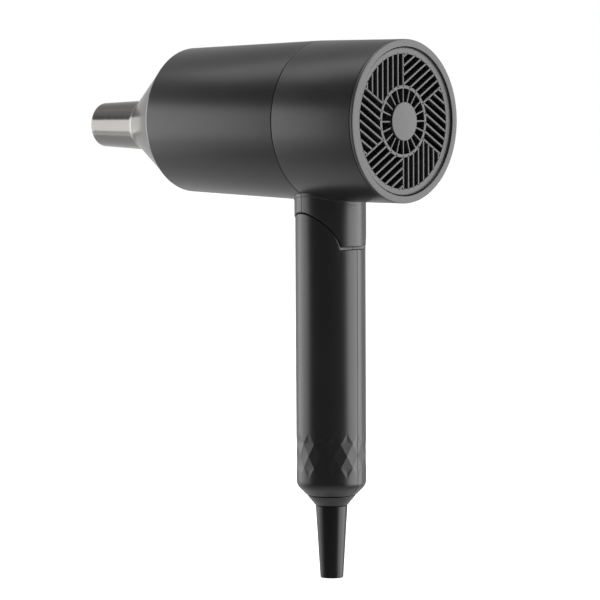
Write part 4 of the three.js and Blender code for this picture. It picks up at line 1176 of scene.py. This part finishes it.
    def filter_cloth(self, finishes: Finishes) -> bmesh.types.BMesh:
        """The woven wire of the filter."""
        low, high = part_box("filter_mesh")
        radius = (high.z - low.z) / 2 - self.wire
        w = self.wire / 2
        section = [(w, 0), (0, w), (-w, 0), (0, -w)]
        profiles = [[Vector((x, y, z)) for x, z in section] for y in (0, 1)]
        wire = to_object(solid_from_profiles(profiles, around=False), "wire")
        count = 2 * int((radius - self.wire_pitch / 2) / self.wire_pitch) + 1
        cloth = wire_cloth_pattern().grow("cloth", {
            "Wire": wire, "Wires": count, "Pitch": self.wire_pitch, "Radius": radius,
            "Layer": w * 0.9, "Centre": ((low.x + high.x) / 2, 0, self.datum.axis_z),
            # the cloth takes the painted-shade filter black so the slots read dark
            "Finish": finishes.materials["filter_steel"],
        })
        bpy.data.objects.remove(wire)
        return cloth

    def filter_ring(self) -> bmesh.types.BMesh:
        """The filter's frame, with a lip around the cloth."""
        d = self.datum
        low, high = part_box("filter_frame")
        outer = high.z - d.axis_z
        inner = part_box("filter_mesh")[1].z - d.axis_z - self.cloth_lap
        outline = ring_outline(inner, outer, low.x, high.x, PLAIN_ROUND)
        return lathe(outline, Axis.X, d.barrel_centre, self.segments // 2)

    def build(self, finishes: Finishes) -> None:
        """Builds and dresses the cap's pieces."""
        for name, bm, slot, node in (
            ("rim_ring", self.bezel(), "grille_black", "rear_bezel"),
            ("hub_cap", self.hub_cap(), "grille_black", "grille_hub_cap"),
            ("filter_ring", self.filter_ring(), "duct_black", "filter_frame"),
        ):
            shade(bm)
            finishes.place(bm, name, Body.REAR_CAP, slot, node)
        finishes.place(self.grille(finishes), "pinwheel_grille", Body.REAR_CAP, "grille_black",
                       "intake_grille")
        finishes.place(self.filter_cloth(finishes), "filter_cloth", Body.REAR_CAP, "filter_steel",
                       "filter_mesh")


@dataclass
class Nozzle:
    """The concentrator nozzle and the ring that it turns on.

    Attributes:
        tip_radius: outer radius of the tube's end.
        draft: radius that the tube gains along its length, towards the barrel.
        slope: radius that the cone gains along its length.
        flange: length of the plain part at the cone's wide end.
        flange_round: rounding of that part's edges.
        flange_break: length of the soft turn from that part into the cone.
        tube: length of the tube, from the crossing of the two outlines.
        drop: how far the tube's axis lies below the barrel's.
        drop_reach: part of the cone that slides down towards the tube's axis.
        blend: reach of the rounding where the tube meets the cone.
        wall: thickness of the metal.
        ring_wall: thickness of the ring in the barrel's mouth.
        spigot: length of the nozzle's part inside that ring.
        spigot_wall: thickness of that part.
        tip_land: length of the tube's end that its rounded edge is made on.
        tip_round: rounding of the tube's end.
        segments: steps around the nozzle.
    """

    datum: Datum
    tip_radius: float = 11.06 * MM
    draft: float = 0.048
    slope: float = 0.698
    flange: float = 1.2 * MM
    flange_round: float = 0.2 * MM
    flange_break: float = 0.5 * MM
    tube: float = 29.4 * MM
    drop: float = 2.8 * MM
    drop_reach: float = 8.0 * MM
    blend: float = 1.6 * MM
    wall: float = 1.3 * MM
    ring_wall: float = 2.5 * MM
    spigot: float = 4.0 * MM
    spigot_wall: float = 1.5 * MM
    tip_land: float = 2.0 * MM
    tip_round: float = 0.4 * MM
    segments: int = 192

    @property
    def corner(self) -> float:
        """Place along the axis where the tube's and the cone's outlines cross."""
        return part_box("concentrator")[0].x + self.tube

    def bend(self, inset: float, steps: int = 8) -> list[Point]:
        """The rounded corner between cone and tube, moved into the wall by an inset."""
        cone = self.cone_at(self.corner + self.blend) - inset * 1.2
        tube = self.tube_at(self.corner - self.blend) - inset
        start = Vector((cone, self.corner + self.blend))
        middle = Vector((self.tube_at(self.corner) - inset, self.corner))
        end = Vector((tube, self.corner - self.blend))
        places = [k / steps for k in range(steps + 1)]
        return [tuple(start.lerp(middle, t).lerp(middle.lerp(end, t), t)) for t in places]

    def tube_at(self, x: float) -> float:
        """Outer radius of the tube at a place along its axis."""
        return self.tip_radius + self.draft * (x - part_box("concentrator")[0].x)

    def cone_at(self, x: float) -> float:
        """Outer radius of the cone at a place along its axis."""
        return self.tube_at(self.corner) + self.slope * (x - self.corner)

    def outline(self) -> list[Point]:
        """Closed outline of the nozzle's wall around its own axis."""
        low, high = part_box("concentrator")
        tip, base = low.x, self.datum.mouth_x - FIT
        wide = (high.z - low.z) / 2
        cone_x = base - self.flange
        spigot = (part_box("nozzle_collar")[1].z - self.datum.axis_z) - self.ring_wall - FIT
        mouth = self.tip_radius - self.wall
        land = tip + self.tip_land
        tip_edge = fillet([
            (self.tube_at(land), land, 0),
            (self.tip_radius, tip, self.tip_round),
            (mouth, tip, self.tip_round),
            (mouth, land, 0),
        ])
        return [
            (spigot, base),
            (wide - self.flange_round, base),
            (wide, base - self.flange_round),
            (wide, cone_x + self.flange_break),
            (wide - self.flange_break / 2, cone_x),
            *self.bend(0),
            *tip_edge,
            *reversed(self.bend(self.wall)),
            (spigot - self.spigot_wall, base - self.spigot),
            (spigot - self.spigot_wall, base + self.spigot),
            (spigot, base + self.spigot),
        ]

    def build(self, finishes: Finishes) -> None:
        """Builds and dresses the nozzle and its ring."""
        d = self.datum
        bm = lathe(self.outline(), Axis.X, d.barrel_centre, self.segments)
        start = self.corner + self.blend + self.drop_reach
        end = self.corner - self.blend
        for vertex in bm.verts:
            share = min(1.0, max(0.0, (start - vertex.co.x) / (start - end)))
            vertex.co.z -= self.drop * share * share * (3 - 2 * share)
        bm.normal_update()
        shade(bm)
        finishes.place(bm, "concentrator_nozzle", Body.NOZZLE, "dark_chrome", "concentrator")

        low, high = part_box("nozzle_collar")
        outer = (high.z - low.z) / 2
        ring = ring_outline(outer - self.ring_wall, outer, low.x, high.x, PLAIN_ROUND)
        bm = lathe(ring, Axis.X, d.barrel_centre, self.segments)
        shade(bm)
        finishes.place(bm, "nozzle_ring", Body.NOZZLE_RING, "gloss_black", "nozzle_collar")


@dataclass
class Fan:
    """The axial fan with its curved blades.

    Attributes:
        hub_share: hub radius as a share of the fan's radius.
        blades: number of blades.
        root_angle: angle between a blade's root and the plane of the fan.
        tip_angle: the same at its tip.
        thickness: thickness of a blade.
        stations: sections along a blade.
        camber: height of a blade's arch.
        chord: longest width of a blade.
        root: how far a blade reaches into the hub.
        tip_gap: blade's tip to the fan's radius.
        margin: blade's edge to the hub's faces.
        nose_round: rounding of the hub's nose.
        hub_wall: thickness of the hub's wall.
        hub_face: thickness of the hub's nose.
        hollow_round: rounding inside the hub.
        boss_radius: radius of the boss on the motor's shaft.
        bore_radius: radius of the shaft's bore.
        bore_end: nose to the end of that bore.
        segments: steps around the hub.
    """

    datum: Datum
    hub_share: float = 0.43
    blades: int = 7
    root_angle: float = math.radians(52)
    tip_angle: float = math.radians(34)
    thickness: float = 1.2 * MM
    stations: int = 9
    camber: float = 1.1 * MM
    chord: float = 9.5 * MM
    root: float = 0.5 * MM
    tip_gap: float = 0.2 * MM
    margin: float = 0.6 * MM
    nose_round: float = 4.0 * MM
    hub_wall: float = 1.8 * MM
    hub_face: float = 2.4 * MM
    hollow_round: float = 1.5 * MM
    boss_radius: float = 3.6 * MM
    bore_radius: float = 1.5 * MM
    bore_end: float = 1.2 * MM
    segments: int = 96

    def blade(self, radius: float, hub: float, low_x: float, high_x: float) -> bpy.types.Object:
        """One twisted and cambered blade along +Z, as a source for the pattern."""
        middle = (low_x + high_x) / 2
        half_depth = (high_x - low_x) / 2 - self.margin
        profiles = []
        for i in range(self.stations):
            share = i / (self.stations - 1)
            reach = hub - self.root + (radius - self.tip_gap - hub + self.root) * share
            angle = self.root_angle + (self.tip_angle - self.root_angle) * share
            chord = min(half_depth / math.sin(angle), self.chord)
            upper, lower = [], []
            for k in range(9):
                t = -1 + k / 4
                camber = self.camber * (1 - t * t)
                thick = self.thickness / 2 * math.sqrt(max(0.05, 1 - t * t))
                for side, row in ((thick, upper), (-thick, lower)):
                    across, along = t * chord, camber + side
                    x = across * math.sin(angle) + along * math.cos(angle)
                    y = across * math.cos(angle) - along * math.sin(angle)
                    depth = max(low_x - middle, min(high_x - middle, x))
                    row.append(Vector((depth, y, math.sqrt(max(0.0, reach**2 - y * y)))))
            profiles.append(upper + lower[::-1])
        bm = solid_from_profiles(profiles, around=False)
        shade(bm, lambda place: BAR_EDGE)
        return to_object(bm, "blade")

    def build(self, finishes: Finishes) -> None:
        """Builds and dresses the fan."""
        d = self.datum
        low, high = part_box("fan")
        radius = (high.z - low.z) / 2
        hub = radius * self.hub_share
        hollow = high.x - self.hub_face
        nose = fillet([
            (0, high.x, 0),
            (hub, high.x, self.nose_round),
            (hub, low.x, PLAIN_ROUND),
            (hub - self.hub_wall, low.x, 0),
            (hub - self.hub_wall, hollow, self.hollow_round),
            (self.boss_radius, hollow, 0),
            (self.boss_radius, low.x, 0),
            (self.bore_radius, low.x, 0),
            (self.bore_radius, high.x - self.bore_end, 0),
            (0, high.x - self.bore_end, 0),
        ], steps=6)
        body = lathe(nose, Axis.X, d.barrel_centre, self.segments)
        shade(body)
        blade = self.blade(radius, hub, low.x, high.x)
        blades = radial_pattern().grow("blades", {
            "Piece": blade, "Copies": self.blades, "First Angle": 0.0,
            "Centre": ((low.x + high.x) / 2, 0, d.axis_z), "Finish": finishes.materials["duct_black"],
        })
        bpy.data.objects.remove(blade)
        finishes.place(merged(body, blades), "axial_fan", Body.FAN, "duct_black", "fan")


@dataclass
class Grip:
    """The folding grip: two half shells with diamond facets, and its screws.

    Attributes:
        ear_radius: radius of the ears around the hinge.
        ledge_rise: hinge axis to the ledge behind the ears.
        top_round: rounding of the grip's upper edge.
        wall: thickness of the shells.
        floor: thickness of the grip's floor.
        chamfer: slanted part of the lower edge.
        shoulder_round: rounding between the slanted part and the grip's side.
        lower_round: rounding between the slanted part and the lower face.
        facets: diamonds around the grip.
        rows: rows of diamonds.
        half_height: half the height of a diamond.
        facet_lift: grip's lower face to the lowest diamond tips.
        facet_depth_limit: depth under the grip's side that no facet reaches.
        steps: mesh steps across half a diamond.
        plain_start: highest diamond tips to the start of the plain part.
        plain_end: hinge axis down to the end of the plain part.
        tongue_half: half thickness of the hinge's tongue.
        tongue_radius: radius of the hinge's tongue.
        washer: thickness of a washer beside the tongue.
        plate_half_width: half the width of the switch panel.
        window_lap: how far the shells lap over the panel's edge.
        window_depth: how far the panel's window reaches into the hollow.
        outlet_step: collar's radius to the outlet in the grip's floor.
        screw_head: radius of a screw's head.
        screw_dome: rounding of a screw's head.
        screw_depth: height of a screw's head.
        screw_shank: radius of a screw's shank.
        screw_point: length of a screw's tapered end.
        recess: half length, half width and depth of the cross in a screw's head.
        seam: gap between the halves at the surface.
        seam_groove: depth of that gap.
    """

    datum: Datum
    ear_radius: float = 18.5 * MM
    ledge_rise: float = 1.1 * MM
    top_round: float = 0.5 * MM
    wall: float = 2.4 * MM
    floor: float = 3.8 * MM
    chamfer: float = 4.8 * MM
    shoulder_round: float = 5.5 * MM
    lower_round: float = 0.5 * MM
    facets: int = 16
    rows: int = 3
    half_height: float = 5.88 * MM
    facet_lift: float = 8.2 * MM
    facet_depth_limit: float = 1.0 * MM
    steps: int = 12
    plain_start: float = 1.0 * MM
    plain_end: float = 10.0 * MM
    tongue_half: float = 4.0 * MM
    tongue_radius: float = 7.5 * MM
    washer: float = 0.6 * MM
    plate_half_width: float = 7.0 * MM
    window_lap: float = 1.7 * MM
    window_depth: float = 5.0 * MM
    outlet_step: float = 2.1 * MM
    screw_head: float = 2.7 * MM
    screw_dome: float = 1.0 * MM
    screw_depth: float = 1.8 * MM
    screw_shank: float = 1.3 * MM
    screw_point: float = 1.0 * MM
    recess: tuple[float, float, float] = (1.5 * MM, 0.32 * MM, 1.0 * MM)
    seam: float = FIT
    seam_groove: float = 0.9 * MM

    @property
    def columns(self) -> int:
        """Mesh columns around the grip."""
        return 2 * self.facets * self.steps

    def upper_edge(self, x: float, inset: float) -> float:
        """Height of the grip's upper edge at a place, moved into the grip by an inset."""
        d = self.datum
        ledge = d.pivot.z + self.ledge_rise - inset
        reach = (self.ear_radius - inset) ** 2 - (x - d.pivot.x) ** 2
        return max(ledge, d.pivot.z + math.sqrt(reach)) if reach > 0 else ledge

    def facet_depth(self, column: int, height: int) -> float:
        """How far the surface lies under the cylinder at a mesh column and a mesh height.

        Each diamond is flat across and slightly hollow along the grip. The outer halves of the
        first and the last row fade into the cylinder.

        Args:
            column: mesh column around the grip, in steps from the rear seam.
            height: mesh height above the lowest diamond tips, in steps.

        Returns:
            The depth in metres.
        """
        n = self.steps
        best = 0.0
        sagitta = 1 - math.cos(math.pi / self.facets)
        for row in range(1, self.rows + 1):
            v = (height - row * n) / n
            if abs(v) > 1:
                continue
            shift = 0 if row % 2 else n
            u = ((column + shift + n) % (2 * n) - n) / n
            if abs(u) + abs(v) > 1 + 1e-9:
                continue
            outward = (row == 1 and v < 0) or (row == self.rows and v > 0)
            if outward:
                edge = 1 - abs(u)
                t = abs(v) / edge if edge > 1e-9 else 1.0
                depth = sagitta * (1 - u * u) * (1 - t) ** 2 * (1 + 2 * t)
            else:
                depth = sagitta * (1 - u * u - v * v)
            best = max(best, depth)
        return best * self.datum.grip_radius

    def half(self, side: int) -> bmesh.types.BMesh:
        """One solid half of the grip, before it is hollowed.

        Args:
            side: -1 for the half on the -Y side, 1 for the other.

        Returns:
            The solid, closed by a flat face at the seam.
        """
        d = self.datum
        r = d.grip_radius
        end = d.grip_end_z
        skirt = fillet([
            (0, end, 0),
            (r - self.chamfer, end, self.lower_round),
            (r, end + self.chamfer, self.shoulder_round),
            (r, end + 3 * self.chamfer, 0),
            (0, end + 3 * self.chamfer, 0),
        ], steps=8)[1:-2]
        count = self.columns // 2
        zone = (self.rows + 1) * self.steps
        lowest = end + self.facet_lift
        bm = bmesh.new()
        columns = []
        for i in range(count + 1):
            turn = math.pi * i / count
            slack = math.asin(self.seam / 2 / r)
            turn = min(max(turn, slack), math.pi - slack)
            rows = [Vector((radius, 0, z)) for radius, z in skirt]
            rows += [
                Vector((r - self.facet_depth(i, k), 0, lowest + self.half_height * k / self.steps))
                for k in range(zone + 1)
            ]
            plain = lowest + self.half_height * (self.rows + 1) + self.plain_start
            rows += [Vector((r, 0, plain)), Vector((r, 0, d.pivot.z - self.plain_end))]
            for t in QUARTER_TURN:
                inset, sunk = self.top_round * (1 - math.sin(t)), self.top_round * (1 - math.cos(t))
                x = d.grip_x + (r - sunk) * math.cos(turn)
                rows.append(Vector((r - sunk, 0, self.upper_edge(x, inset))))
            column = []
            for row in rows:
                x = d.grip_x + row.x * math.cos(turn)
                y = max(row.x * math.sin(turn), self.seam / 2)
                column.append(bm.verts.new((x, side * y, row.z)))
            columns.append(column)
        size = len(columns[0])
        first = len(skirt)
        for i in range(count):
            for k in range(size - 1):
                a, b = columns[i][k], columns[i + 1][k]
                c, e = columns[i + 1][k + 1], columns[i][k + 1]
                block_row, block_column = (k - first) // self.steps, i // self.steps
                if first <= k < first + zone and (block_row + block_column) % 2:
                    faces = ((a, b, e), (b, c, e))
                elif first <= k < first + zone:
                    faces = ((a, b, c), (a, c, e))
                else:
                    faces = ((a, b, c, e),)
                for face in faces:
                    bm.faces.new(face)
        floor_line = [self.seam_point(bm, column[0], side) for column in columns[1:-1]]
        top_line = [self.seam_point(bm, column[-1], side) for column in columns[1:-1]]
        for line, row in ((floor_line, 0), (top_line, size - 1)):
            inner = [columns[0][row], *line, columns[-1][row]]
            for i in range(count):
                quad = [columns[i][row], columns[i + 1][row], inner[i + 1], inner[i]]
                bm.faces.new(list(dict.fromkeys(quad)))
        bm.faces.new([*columns[0], *top_line, *reversed(columns[-1]), *reversed(floor_line)])
        return cleaned(bm)

    def seam_point(
        self, bm: bmesh.types.BMesh, vertex: bmesh.types.BMVert, side: int
    ) -> bmesh.types.BMVert:
        """The point on the seam plane that lies straight across from a vertex."""
        return bm.verts.new((vertex.co.x, side * self.seam / 2, vertex.co.z))

    def seam_ribs(self) -> list[bmesh.types.BMesh]:
        """The ribs on the left half that close the seam behind its groove."""
        d = self.datum
        low = d.grip_end_z + self.seam_groove
        shoulder = low + self.chamfer
        high = d.pivot.z + self.ledge_rise - self.seam_groove
        ribs = []
        for inset, start, end in ((self.chamfer, low, shoulder), (0.0, shoulder, high)):
            reach = d.grip_radius - self.seam_groove - inset
            rib = block(Vector((d.grip_x - reach, -self.seam / 2, start)),
                        Vector((d.grip_x + reach, self.seam / 2, end)))
            ribs.append(carve(rib, self.cutters(-1)))
        return ribs

    def cutters(self, side: int) -> list[bmesh.types.BMesh]:
        """What is cut from a half: the hinge slot, the hollow, the bores and the switch window."""
        d = self.datum
        r = d.grip_radius
        far = 60 * MM  # beyond the grip's side
        bore = r - self.wall
        reach = self.tongue_radius + FIT
        slot_half = self.tongue_half + self.washer + 2 * FIT
        slot_floor = d.pivot.z - reach
        floor = d.grip_end_z + self.floor
        top = slot_floor - self.wall
        pin_low, pin_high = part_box("hinge_pin")
        pin = (pin_high.z - pin_low.z) / 2 + FIT
        plate_low, plate_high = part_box("switch_plate")
        lap = self.window_lap
        side_reach = self.plate_half_width + lap
        window_low = Vector((d.grip_x - r - far, -side_reach, plate_low.z + lap))
        window_x = d.grip_x - bore + self.window_depth
        window_high = Vector((window_x, side_reach, plate_high.z - lap))
        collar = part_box("cord_collar")
        outlet = (collar[1].x - collar[0].x) / 2 - self.outlet_step
        cuts = [
            block(Vector((d.pivot.x - far, -slot_half, slot_floor)),
                  Vector((d.pivot.x + reach, slot_half, d.pivot.z + far))),
            rod(bore, floor, top, Axis.Z, d.grip_centre, 96),
            rod(outlet, d.grip_end_z - 2 * MM, floor + MM, Axis.Z, d.grip_centre, 96),
            rod(pin, pin_low.y - FIT, pin_high.y + FIT, Axis.Y, d.pivot, 64),
            block(window_low, window_high),
        ]
        if side > 0:
            for node in GRIP_SCREWS:
                low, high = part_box(node)
                centre = (low + high) / 2
                cuts.append(rod(self.screw_head + FIT, bore * 0.3, far, Axis.Y, centre, 48))
        return cuts

    def screw(self) -> bpy.types.Object:
        """A pan head screw with a cross recess, whose head's face is at the origin, facing +Y."""
        low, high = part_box("handle_screw_1")
        length = high.y - low.y
        head, shank = self.screw_head, self.screw_shank
        outline = fillet([
            (0, 0, 0),
            (head, 0, self.screw_dome),
            (head, -self.screw_depth, 0.1 * MM),
            (shank, -self.screw_depth, 0),
            (shank, -length + self.screw_point, 0),
            (0.5 * MM, -length, 0),
            (0, -length, 0),
        ])
        solid = lathe(outline, Axis.Y, Vector((0, 0, 0)), 48)
        arm, width, depth = self.recess
        cross = [
            block(Vector((-arm, -depth, -width)), Vector((arm, depth, width))),
            block(Vector((-width, -depth, -arm)), Vector((width, depth, arm))),
        ]
        bm = carve(solid, cross)
        shade(bm)
        return to_object(bm, "screw")

    def screws(self, finishes: Finishes) -> bmesh.types.BMesh:
        """The three screws that hold the halves together."""
        places = bmesh.new()
        for node in GRIP_SCREWS:
            low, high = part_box(node)
            places.verts.new(((low.x + high.x) / 2, high.y, (low.z + high.z) / 2))
        points, screw = to_object(places, "places"), self.screw()
        bm = at_points_pattern().grow("screws", {
            "Piece": screw, "Places": points, "Finish": finishes.materials["steel"],
        })
        for source in (points, screw):
            bpy.data.objects.remove(source)
        return bm

    def build(self, finishes: Finishes) -> None:
        """Builds and dresses both halves and the screws."""
        d = self.datum
        low = d.grip_end_z + self.facet_lift
        high = low + self.half_height * (self.rows + 1)

        def limit(place: Vector) -> float:
            """The turn from which an edge at a place is kept sharp."""
            outside = math.hypot(place.x - d.grip_x, place.y) > d.grip_radius - self.facet_depth_limit
            return FACET_EDGE if outside and low < place.z < high else SOFT_EDGE

        for side, name, node in ((-1, "grip_left_half", "handle_left"),
                                 (1, "grip_right_half", "handle_right")):
            bm = carve(self.half(side), self.cutters(side))
            if side < 0:
                bm = merged(bm, *self.seam_ribs())
            shade(bm, limit)
            finishes.place(bm, name, Body.GRIP, "satin_black", node)
        finishes.place(self.screws(finishes), "grip_screws", Body.GRIP, "steel", *GRIP_SCREWS)


@dataclass
class CordOutlet:
    """The collar under the grip and the strain relief that comes out of it.

    Attributes:
        relief_end: radius of the strain relief's end.
        relief_top: radius of the strain relief under the collar.
        bore: radius of the cord's bore.
        neck: radius of the strain relief inside the collar.
        flange: how far its upper flange stands out.
        collar_floor: thickness of the collar's flange inside the grip.
        collar_step: how far the collar narrows where it enters the grip.
        flange_step: how far that flange stays under the collar's radius.
        foot_step: how far the collar's foot stands out over the strain relief.
        mouth_round: rounding of the bore's mouth.
        end_round: rounding of the strain relief's end.
        segments: steps around both.
    """

    datum: Datum
    relief_end: float = 5.6 * MM
    relief_top: float = 7.8 * MM
    bore: float = 3.3 * MM
    neck: float = 5.5 * MM
    flange: float = 2.6 * MM
    collar_floor: float = 1.8 * MM
    collar_step: float = 2.7 * MM
    flange_step: float = 0.6 * MM
    foot_step: float = 0.2 * MM
    mouth_round: float = 0.35 * MM
    end_round: float = 0.6 * MM
    segments: int = 128

    def build(self, finishes: Finishes) -> None:
        """Builds and dresses the collar and the strain relief."""
        d = self.datum
        low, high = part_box("cord_collar")
        radius = (high.x - low.x) / 2
        top = d.grip_end_z - FIT
        floor = high.z - self.collar_floor
        collar = fillet([
            (self.neck + FIT, low.z, FINE_ROUND),
            (self.relief_top + self.foot_step, low.z, PLAIN_ROUND),
            (radius, top, PLAIN_ROUND),
            (radius - self.collar_step, top, 0),
            (radius - self.collar_step, floor, 0),
            (radius - self.flange_step, floor, FINE_ROUND),
            (radius - self.flange_step, high.z, FINE_ROUND),
            (self.neck + FIT, high.z, FINE_ROUND),
        ])
        bm = lathe(collar, Axis.Z, d.grip_centre, self.segments)
        shade(bm)
        finishes.place(bm, "cord_outlet_collar", Body.GRIP, "satin_black", "cord_collar")

        low_r, high_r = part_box("strain_relief")
        relief_top = low.z - FIT
        shoulder = high.z + FIT
        relief = fillet([
            (self.bore, low_r.z, self.mouth_round),
            (self.relief_end, low_r.z, self.end_round),
            (self.relief_top, relief_top, PLAIN_ROUND),
            (self.neck, relief_top, 0),
            (self.neck, shoulder, 0),
            (self.neck + self.flange, shoulder, FINE_ROUND),
            (self.neck + self.flange, high_r.z, FINE_ROUND),
            (self.bore, high_r.z, 0),
        ])
        bm = lathe(relief, Axis.Z, d.grip_centre, self.segments)
        shade(bm)
        finishes.place(bm, "cord_strain_relief", Body.GRIP, "gloss_black", "strain_relief")


@dataclass
class Refinement:
    """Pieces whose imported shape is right, remade with merged faces and rounded edges.

    Attributes:
        bevel: width of the rounded edges.
    """

    bevel: float = 0.22 * MM

    def build(self, finishes: Finishes) -> None:
        """Builds and dresses the pieces."""
        jobs = (
            ("switch_plate", "switch_panel", Body.GRIP, "gloss_black", self.bevel),
            ("heat_slider", "heat_slide_knob", Body.HEAT_KNOB, "grille_black", self.bevel),
            ("speed_slider", "speed_slide_knob", Body.SPEED_KNOB, "grille_black", self.bevel),
            ("cool_button", "cool_shot_button", Body.COOL_KEY, "grille_black", self.bevel),
            # the knuckle takes the painted-shade duct black so the fold gap reads dark
            ("hinge_knuckle", "fold_knuckle", Body.BARREL, "duct_black", self.bevel),
            ("outlet_grille", "outlet_guard", Body.BARREL, "duct_black", self.bevel),
            ("fan_duct", "fan_housing", Body.BARREL, "duct_black", 0),
        )
        for node, name, body, slot, bevel in jobs:
            bm = refined(node, bevel)
            shade(bm)
            finishes.place(bm, name, body, slot, node)


# ------------------------------------------------------------------------------ stage
@dataclass(frozen=True)
class SoftBox:
    """A rectangular studio light that faces the dryer.

    Attributes:
        name: the light's name.
        azimuth: direction of the light around the dryer, in degrees from +X towards +Y.
        height: height of its middle over the floor.
        distance: horizontal distance from the dryer.
        size: width and height.
        radiance: brightness of its face.
        mirrored: whether the dryer's gloss shows it.
    """

    name: str
    azimuth: float
    height: float
    distance: float
    size: tuple[float, float]
    radiance: float
    mirrored: bool = True

    def make(self, target: Vector) -> None:
        """Adds the light to the scene, facing the target."""
        data = bpy.data.lights.new(self.name, "AREA")
        data.shape = "RECTANGLE"
        data.size, data.size_y = self.size
        data.energy = self.radiance * math.pi * self.size[0] * self.size[1]
        light = bpy.data.objects.new(self.name, data)
        bpy.context.scene.collection.objects.link(light)
        a = math.radians(self.azimuth)
        light.location = (
            target.x + self.distance * math.cos(a), target.y + self.distance * math.sin(a), self.height
        )
        light.rotation_euler = (target - light.location).to_track_quat("-Z", "Y").to_euler()
        light.visible_camera = False
        light.visible_glossy = self.mirrored


@dataclass
class Stage:
    """The camera, the lights, the pale surroundings and the pale floor.

    Attributes:
        camera_place: the camera's place.
        camera_right: direction to the right of the view.
        camera_up: direction to the top of the view.
        lens: focal length in millimetres on a sensor 36 mm wide.
        lights: the studio lights.
        backdrop: brightness of the surroundings behind the dryer, from below and from above.
        dim_side: brightness of the surroundings on the camera's side, from below and elsewhere.
        backdrop_edge: where the surroundings turn from dim to bright, as the cosine of the angle
            from the view's direction.
        floor_glow: what the floor adds to its own brightness, for the camera and for the rest.
        aim: the point that the lights face.
    """

    camera_place: tuple[float, float, float] = (1.1568, -1.2770, 0.2462)
    camera_right: tuple[float, float, float] = (0.7507, 0.6607, -0.0051)
    camera_up: tuple[float, float, float] = (-0.0395, 0.0525, 0.9978)
    lens: float = 209.5
    lights: tuple[SoftBox, ...] = (
        SoftBox("left_box", -153, 0.19, 1.0, (1.15, 0.62), 2.5),
        SoftBox("low_left_box", -153, -0.235, 1.0, (1.15, 0.23), 0.9),
        SoftBox("right_box", 36, 0.2, 1.2, (1.4, 1.4), 4.2),
        SoftBox("top_box", 0, 1.6, 0.02, (0.9, 0.9), 6.0),
        SoftBox("rear_box", 200, 0.84, 0.42, (0.3, 0.45), 1.5),
    )
    backdrop: tuple[float, float] = (0.85, 0.50)
    dim_side: tuple[float, float] = (0.8, 0.18)
    backdrop_edge: tuple[float, float] = (0.10, 0.28)
    floor_glow: tuple[float, float] = (0.9, 0.1)
    aim: tuple[float, float, float] = (0, 0, 0.18)

    def make_camera(self) -> None:
        """Adds the camera and makes it the scene's own."""
        data = bpy.data.cameras.new("camera")
        data.lens = self.lens
        data.sensor_width = 36.0
        data.clip_start, data.clip_end = 0.05, 50.0
        camera = bpy.data.objects.new("camera", data)
        bpy.context.scene.collection.objects.link(camera)
        right = Vector(self.camera_right).normalized()
        back = right.cross(Vector(self.camera_up)).normalized()
        turn = Matrix((right, back.cross(right), back)).transposed().to_4x4()
        camera.matrix_world = Matrix.Translation(self.camera_place) @ turn
        bpy.context.scene.camera = camera

    def make_floor(self) -> None:
        """Adds a pale floor with a very fine variation in tone."""
        bm = bmesh.new()
        bmesh.ops.create_circle(bm, cap_ends=True, segments=96, radius=6.0)
        floor = to_object(bm, "floor")
        material, wire, shader = new_material("PaleFloor")
        place = wire.node("ShaderNodeTexCoord").outputs["Object"]
        cloud = wire.node("ShaderNodeTexNoise", Vector=place, Scale=3.0, Detail=3.0)
        tone = wire.blend(cloud.outputs["Fac"], grey(0.78), grey(0.82))
        wire.tree.links.new(tone, shader.inputs["Base Color"])
        shader.inputs["Roughness"].default_value = 0.8
        shader.inputs["Emission Color"].default_value = (1, 1, 1, 1)
        seen = wire.node("ShaderNodeLightPath").outputs["Is Camera Ray"]
        for_camera, for_rest = self.floor_glow
        glow = wire.math("ADD", wire.math("MULTIPLY", seen, for_camera - for_rest), for_rest)
        wire.tree.links.new(glow, shader.inputs["Emission Strength"])
        floor.data.materials.append(material)
        floor.visible_glossy = False
        floor.visible_shadow = False

    def make_world(self) -> None:
        """White surroundings for the camera, and a studio that is brighter behind the dryer."""
        world = bpy.data.worlds.new("studio")
        world.use_nodes = True
        tree = world.node_tree
        wire = Wiring(tree)
        background = tree.nodes["Background"]
        view = -Vector(self.camera_right).cross(Vector(self.camera_up)).normalized()
        ray = wire.node("ShaderNodeTexCoord").outputs["Generated"]
        along = tree.nodes.new("ShaderNodeVectorMath")
        along.operation = "DOT_PRODUCT"
        tree.links.new(ray, along.inputs[0])
        along.inputs[1].default_value = (view.x, view.y, 0)
        glow = wire.ramp(along.outputs["Value"], self.backdrop_edge, smooth=True)
        height = wire.node("ShaderNodeSeparateXYZ", Vector=ray).outputs["Z"]
        for socket, span, tones in (("To Min", (-0.85, -0.4), self.dim_side),
                                    ("To Max", (-0.5, 0.6), self.backdrop)):
            rise = wire.ramp(height, span)
            rise.inputs["To Min"].default_value, rise.inputs["To Max"].default_value = tones
            tree.links.new(rise.outputs["Result"], glow.inputs[socket])
        seen = wire.node("ShaderNodeLightPath").outputs["Is Camera Ray"]
        strength = wire.math("MAXIMUM", glow.outputs["Result"], seen)
        tree.links.new(strength, background.inputs["Strength"])
        background.inputs["Color"].default_value = (1, 1, 1, 1)
        bpy.context.scene.world = world

    def build(self) -> None:
        """Builds the whole stage."""
        self.make_camera()
        self.make_floor()
        self.make_world()
        for light in self.lights:
            light.make(Vector(self.aim))
        bpy.context.scene.view_settings.view_transform = "Standard"


def main() -> None:
    """Builds the stage and every sub-assembly of the dryer."""
    logging.basicConfig(level=logging.INFO, format="%(name)s: %(message)s")
    Stage().build()
    finishes = Finishes()
    finishes.dress_nodes()
    datum = Datum.read()
    Barrel(datum).build(finishes)
    RearCap(datum).build(finishes)
    Nozzle(datum).build(finishes)
    Fan(datum).build(finishes)
    Grip(datum).build(finishes)
    CordOutlet(datum).build(finishes)
    Refinement().build(finishes)


if __name__ == "__main__":
    main()
